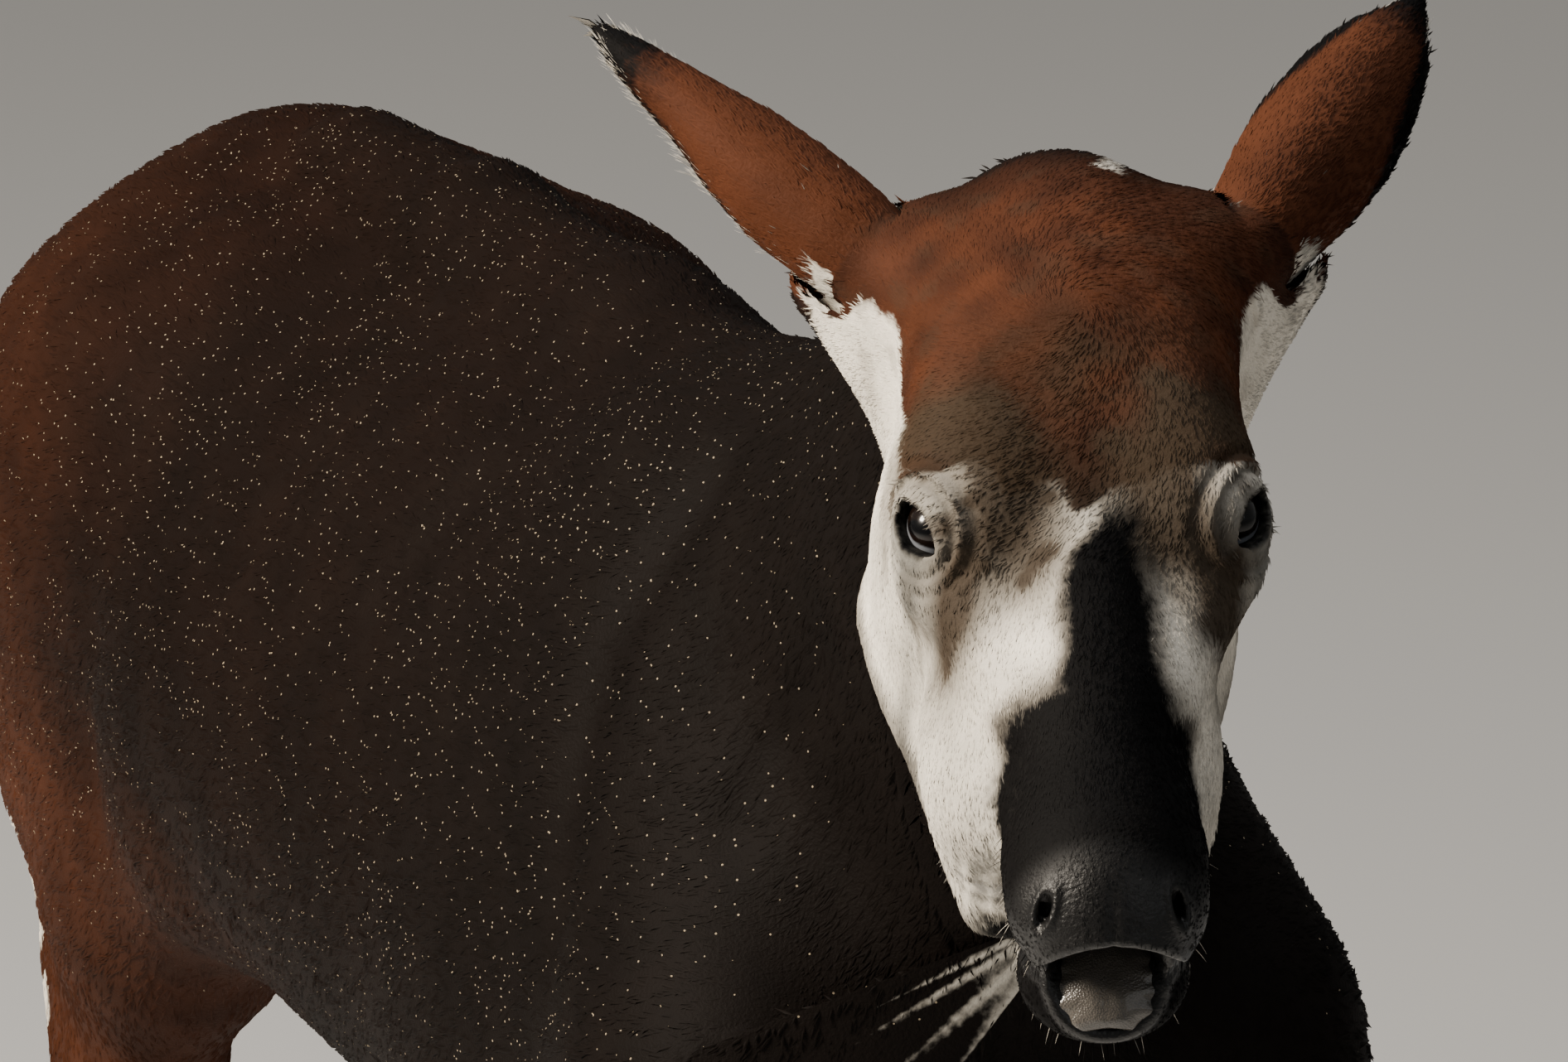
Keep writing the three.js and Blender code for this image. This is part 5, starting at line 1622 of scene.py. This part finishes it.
@dataclass(frozen=True)
class EyeFinish:
    """A dark brown iris with a wide level pupil under a wet clear surface, and a painted highlight along the
    lower lid.
    """

    white: int = 0x1A1412
    iris: int = 0x150D09
    iris_dark: int = 0x100A08
    pupil: int = 0x050506
    # pale colour of the painted highlight: a crescent of reflected light along the lower lid
    tear_mark_and_glint: int = 0x80848C
    radius: float = 20.0

    def build(self) -> bpy.types.Material:
        """The eyeball's material."""
        material, tree, shader = new_material("wet_eye")
        angle = add_node(tree, "ShaderNodeAttribute", attribute_name="angle").outputs["Fac"]
        slit = add_node(tree, "ShaderNodeAttribute", attribute_name="slit").outputs["Fac"]
        streak = add_node(tree, "ShaderNodeTexNoise", {"Scale": 900.0, "Detail": 2.0})
        ring = ranged(tree, angle, 0.78, 0.9)
        dark = ranged(tree, slit, -0.6, 0.6)
        iris = mixed(tree, streak.outputs["Fac"], Paint.linear(self.iris), Paint.linear(self.iris_dark))
        ball = mixed(tree, ring, iris, Paint.linear(self.white))
        colour = mixed(tree, dark, ball, Paint.linear(self.pupil))
        # Painted highlight: the pale crescent along the lower lid
        tear_mark_and_glint = add_node(tree, "ShaderNodeAttribute", attribute_name="tear_mark_and_glint").outputs["Fac"]
        tree.links.new(mixed(tree, tear_mark_and_glint, colour, Paint.linear(self.tear_mark_and_glint)), shader.inputs["Base Color"])
        shader.inputs["Roughness"].default_value = 0.22
        shader.inputs["Specular IOR Level"].default_value = 0.2
        shader.inputs["Coat Weight"].default_value = 0.8
        shader.inputs["Coat Roughness"].default_value = 0.02
        shader.inputs["Coat IOR"].default_value = 1.34
        return material

    def ball(self, side: int, material: bpy.types.Material) -> bpy.types.Object:
        """One eyeball with a slightly raised cornea and a painted highlight crescent along its lower lid."""
        sight, long, short = EYE.axes(side)
        angles = np.linspace(0.04, math.pi - 0.04, 46)
        turns = np.linspace(0, 2 * math.pi, 64, endpoint=False)
        rings = []
        for angle in angles:
            radius = self.radius + 1.3 * math.exp(-((angle / 0.55) ** 2))
            circle = np.outer(np.cos(turns), long) + np.outer(np.sin(turns), short)
            rings.append(EYE.centre(side) + radius * (math.cos(angle) * sight + math.sin(angle) * circle))
        name = f"eyeball_{'right' if side < 0 else 'left'}"
        obj = ring_tube(name, np.array(rings))
        offset = points_of(obj) - EYE.centre(side)
        l, s = offset @ long, offset @ (UP - sight * (UP @ sight))
        level = np.cross(sight, unit(UP - sight * (UP @ sight)))
        across = offset @ level
        ahead = np.arccos(np.clip(offset @ sight / np.linalg.norm(offset, axis=1), -1, 1))
        put_values(obj, {"angle": ahead, "slit": 4.2 * (1 - np.hypot(across / 9.0, s / 4.6))})
        gap = EYE.gap(l, offset @ short)
        # Painted highlight: a pale crescent just inside the lower lid, in place of its reflection
        low = (offset @ short < -2) * smooth(-4.0, -2.4, gap) * smooth(17, 11, np.abs(l))
        put_values(obj, {"tear_mark_and_glint": low})
        activate(obj)
        bpy.ops.object.shade_smooth()
        obj.data.materials.append(material)
        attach(obj, "root")
        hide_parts(name.replace("eyeball", "eye"))
        return obj


class Tongue:
    """The grey tongue that shows between the lips, its wet edge crinkled."""

    GREY = 0x5F5A53
    DARK = 0x2F2B28

    def build(self) -> bpy.types.Object:
        """Makes the tongue."""
        rings = []
        turns = np.linspace(0, 2 * math.pi, 72, endpoint=False)
        for t in np.linspace(0.0, 0.985, 60):
            along = 402 + 88 * t
            out = -67.5 - 18 * t**4
            wide = 35 * math.sqrt(max(1 - 0.94 * t**6, 0.02)) * (0.8 + 0.2 * t)
            thick = 6.2 * (1 - 0.4 * t)
            c, s = np.cos(turns), np.sin(turns)
            edge = np.abs(c) ** 4
            frill = 1.1 * edge * np.sin(t * 62 + 2 * c) * smooth(0.35, 0.6, np.array([t]))[0]
            groove = -1.6 * np.exp(-((c * wide / 5) ** 2)) * (s > 0)
            aside = c * (wide + frill)
            height = np.sign(s) * np.abs(s) ** 0.8 * thick + groove + frill * 0.8 - 5 * (np.abs(c) ** 2.0) * t
            ring = np.stack([np.full(72, along) + frill * 0.5, aside, out + height], 1)
            rings.append(HEAD_ORIGIN + ring @ HEAD)
        obj = ring_tube("tongue_skin", np.array(rings))
        material, tree, shader = new_material("wet_tongue")
        point = add_node(tree, "ShaderNodeTexCoord").outputs["Object"]
        broad = add_node(tree, "ShaderNodeTexNoise", {"Vector": point, "Scale": 90.0, "Detail": 4.0})
        fine = add_node(tree, "ShaderNodeTexVoronoi", {"Vector": point, "Scale": 900.0})
        colour = mixed(tree, broad.outputs["Fac"], Paint.linear(self.GREY), Paint.linear(self.DARK))
        bump = add_node(tree, "ShaderNodeBump",
                        {"Height": fine.outputs["Distance"], "Strength": 0.6, "Distance": 0.0006})
        tree.links.new(colour, shader.inputs["Base Color"])
        tree.links.new(bump.outputs[0], shader.inputs["Normal"])
        shader.inputs["Roughness"].default_value = 0.3
        shader.inputs["Coat Weight"].default_value = 0.6
        shader.inputs["Coat Roughness"].default_value = 0.1
        activate(obj)
        bpy.ops.object.shade_smooth()
        obj.data.materials.append(material)
        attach(obj, "root")
        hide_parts("tongue")
        return obj


class Hooves:
    """The eight claws of dark horn, in four pairs."""

    NAMES = tuple(f"{end}_hoof_{side}" for end in ("front", "hind") for side in ("right", "left"))
    HORN = 0x17120F
    PALE_HORN = 0x3A2F28
    WORN = 0x6E6253

    def build(self) -> list:
        """Makes each pair from a finely meshed copy of its solid."""
        material = self.finish()
        made = []
        for name in self.NAMES:
            hoof = joined(copied_nodes((name,)), name.replace("hoof", "horn"))
            apply_modifier(hoof, "REMESH", mode="VOXEL", voxel_size=1.6 * MILLIMETRE)
            points = points_of(hoof)
            apply_modifier(hoof, "SMOOTH", factor=0.5, iterations=6)
            eased = points_of(hoof)
            low = smooth(3, 9, points[:, 2])[:, None]
            put_points(hoof, points + (eased - points) * low)
            activate(hoof)
            bpy.ops.object.shade_smooth()
            hoof.data.materials.append(material)
            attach(hoof, "root")
            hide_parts(name)
            made.append(hoof)
        return made

    def finish(self) -> bpy.types.Material:
        """Dark horn with level growth lines, worn paler at the edge on the ground."""
        material, tree, shader = new_material("hoof_horn")
        point = add_node(tree, "ShaderNodeTexCoord").outputs["Object"]
        stretch = add_node(tree, "ShaderNodeMapping", {"Vector": point, "Scale": (20.0, 20.0, 420.0)})
        lines = add_node(tree, "ShaderNodeTexNoise",
                         {"Vector": stretch.outputs[0], "Scale": 1.0, "Detail": 3.0})
        broad = add_node(tree, "ShaderNodeTexNoise", {"Vector": point, "Scale": 60.0, "Detail": 3.0})
        colour = mixed(tree, broad.outputs["Fac"], Paint.linear(self.HORN), Paint.linear(self.PALE_HORN))
        split = add_node(tree, "ShaderNodeSeparateXYZ", {0: point})
        low = ranged(tree, split.outputs["Z"], 0.012, 0.0, 0.0, 0.35)
        worn = mixed(tree, low, colour, Paint.linear(self.WORN))
        bump = add_node(tree, "ShaderNodeBump",
                        {"Height": lines.outputs["Fac"], "Strength": 0.5, "Distance": 0.0008})
        tree.links.new(worn, shader.inputs["Base Color"])
        tree.links.new(bump.outputs[0], shader.inputs["Normal"])
        shader.inputs["Roughness"].default_value = 0.42
        return material


def bake_place(p: Array, normal: Array) -> Array:
    """Where a root lies on the unwrap of the skin: six sides of each region, each in its own cell.

    Args:
        p: Roots in body millimetres.
        normal: The skin's normals there.

    Returns:
        A point of the unit square for each root.
    """
    parts = place(p)
    region = np.zeros(len(p), int)
    on_leg = parts["leg"] > 0.5
    region[on_leg] = 2 + 2 * (p[on_leg][:, 1] > 400) + (p[on_leg][:, 0] > 0)
    region[parts["head"] > 0.5] = 1
    region[parts["tail"] > 0.5] = 6
    for number, ear_side in ((7, -1), (8, 1)):
        region[parts["ears"][ear_side] > 0.5] = number
    # left, bottom, width and height of each region's block
    blocks = np.array(((0, 0, 0.62, 1), (0.62, 0.6, 0.38, 0.4), (0.62, 0.4, 0.19, 0.2),
                       (0.81, 0.4, 0.19, 0.2), (0.62, 0.2, 0.19, 0.2), (0.81, 0.2, 0.19, 0.2),
                       (0.62, 0, 0.12, 0.2), (0.74, 0, 0.13, 0.2), (0.87, 0, 0.13, 0.2)))
    axis = np.abs(normal).argmax(1)
    facing = normal[np.arange(len(p)), axis] > 0
    flat = np.stack([np.where(axis == 0, p[:, 1], p[:, 0]), np.where(axis == 2, p[:, 1], p[:, 2])], 1)
    made = np.zeros((len(p), 2))
    for number, (left, bottom, width, height) in enumerate(blocks):
        for face_axis in range(3):
            for sign in (0, 1):
                here = (region == number) & (axis == face_axis) & (facing == bool(sign))
                if not here.any():
                    continue
                low, high = flat[here].min(0), flat[here].max(0)
                share = (flat[here] - low) / np.maximum(high - low, 1.0)
                cell = np.array((width / 3, height / 2))
                corner = np.array((left + face_axis * cell[0], bottom + sign * cell[1]))
                made[here] = corner + cell * (0.03 + 0.94 * share)
    return made


def write_bake_map(obj: bpy.types.Object, place_on_map: Array, patch: Array, pattern: Array) -> None:
    """Writes the map OFBake: each tuft a small patch at its root's place."""
    layer = obj.data.uv_layers.new(name="OFBake")
    spots = place_on_map[:, None, None, :] + patch[pattern][None]
    layer.data.foreach_set("uv", np.clip(spots, 0, 1).astype(np.float32).ravel())


@dataclass(frozen=True)
class View:
    """The camera: where it looks, from how far and at what angle."""

    target: Vector3 = (-240.0, -542.0, 1599.0)
    azimuth: float = -21.0
    elevation: float = 19.0
    distance: float = 8000.0
    focal_pixels: float = 17520.0
    width_pixels: float = 1892.0

    def back(self) -> Array:
        """From the target to the camera."""
        a, e = math.radians(self.azimuth), math.radians(self.elevation)
        return np.array((math.sin(a) * math.cos(e), -math.cos(a) * math.cos(e), math.sin(e)))

    def build(self) -> bpy.types.Object:
        """Makes the camera."""
        data = bpy.data.cameras.new("camera")
        camera = bpy.data.objects.new("camera", data)
        bpy.context.scene.collection.objects.link(camera)
        back = self.back()
        camera.location = to_frame(np.asarray(self.target) + back * self.distance)
        camera.rotation_euler = Vector(-back).to_track_quat("-Z", "Y").to_euler()
        data.sensor_width = 36.0
        data.lens = 36.0 * self.focal_pixels / self.width_pixels
        data.clip_start, data.clip_end = 0.5, 60.0
        bpy.context.scene.camera = camera
        return camera


class Studio:
    """Pale floor and soft light."""

    FLOOR_REACH = 30.0
    SKY = 0xDCDDDA
    SKY_STRENGTH = 0.2
    KEY = 0xFFF3E2

    def build(self, view: View) -> None:
        """Makes the floor, the world and the lamps."""
        corners = self.FLOOR_REACH * np.array(((-1, -1, 0), (1, -1, 0), (1, 1, 0), (-1, 1, 0)), float)
        floor = from_arrays("floor", corners, np.array(((0, 1, 2, 3),)), False)
        material, tree, shader = new_material("pale_floor")
        grain = add_node(tree, "ShaderNodeTexNoise", {"Scale": 3.0})
        tone = add_node(tree, "ShaderNodeMapRange", {0: grain.outputs["Fac"], 3: 0.60, 4: 0.64})
        tree.links.new(tone.outputs[0], shader.inputs["Base Color"])
        shader.inputs["Roughness"].default_value = 0.9
        floor.data.materials.append(material)
        world = bpy.data.worlds.new("studio")
        bpy.context.scene.world = world
        world.use_nodes = True
        world.node_tree.nodes["Background"].inputs["Color"].default_value = Paint.linear(self.SKY)
        world.node_tree.nodes["Background"].inputs["Strength"].default_value = self.SKY_STRENGTH
        back = view.back()
        left = np.array((-math.cos(math.radians(view.azimuth)), -math.sin(math.radians(view.azimuth)), 0))
        middle = to_frame(np.asarray(view.target))
        self.lamp("key", middle + left * 3.4 + UP * 2.1 + back * 0.7, middle, 1.2, 600, self.KEY)
        self.lamp("fill", middle - left * 3.0 + UP * 1.2 + back * 3.0, middle, 3.0, 18)
        self.lamp("top", middle + UP * 3.5 - back * 1.0, middle, 2.4, 80)

    def lamp(self, name: str, position: Array, target: Array, size: float, power: float,
             colour: int = 0xFFFFFF) -> None:
        """One soft lamp that faces a point."""
        data = bpy.data.lights.new(name, "AREA")
        data.energy, data.size = power, size
        data.color = Paint.linear(colour)[:3]
        lamp = bpy.data.objects.new(name, data)
        bpy.context.scene.collection.objects.link(lamp)
        lamp.location = position
        lamp.rotation_euler = Vector(target - position).to_track_quat("-Z", "Y").to_euler()


def main() -> None:
    """Builds the whole model in order."""
    logging.basicConfig(level=logging.INFO, format="%(message)s")
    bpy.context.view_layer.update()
    view = View()
    view.build()
    Studio().build(view)
    finish = CoatFinish()
    skin = Skin()
    skin.build()
    skin.dress(finish.build("short_coat_skin", False))
    LOG.info("skin: %d faces", len(skin.object.data.polygons))
    hair = finish.build("short_coat_tufts", True)
    pieces = Coat(skin.object).build(hair) + LongHair(hair).build() + Hooves().build() + [Tongue().build()]
    wet = EyeFinish()
    eye_material = wet.build()
    pieces += [wet.ball(side, eye_material) for side in (-1, 1)]
    for piece in pieces:
        LOG.info("%s: %d faces", piece.name, len(piece.data.polygons))


if __name__ == "__main__":
    main()
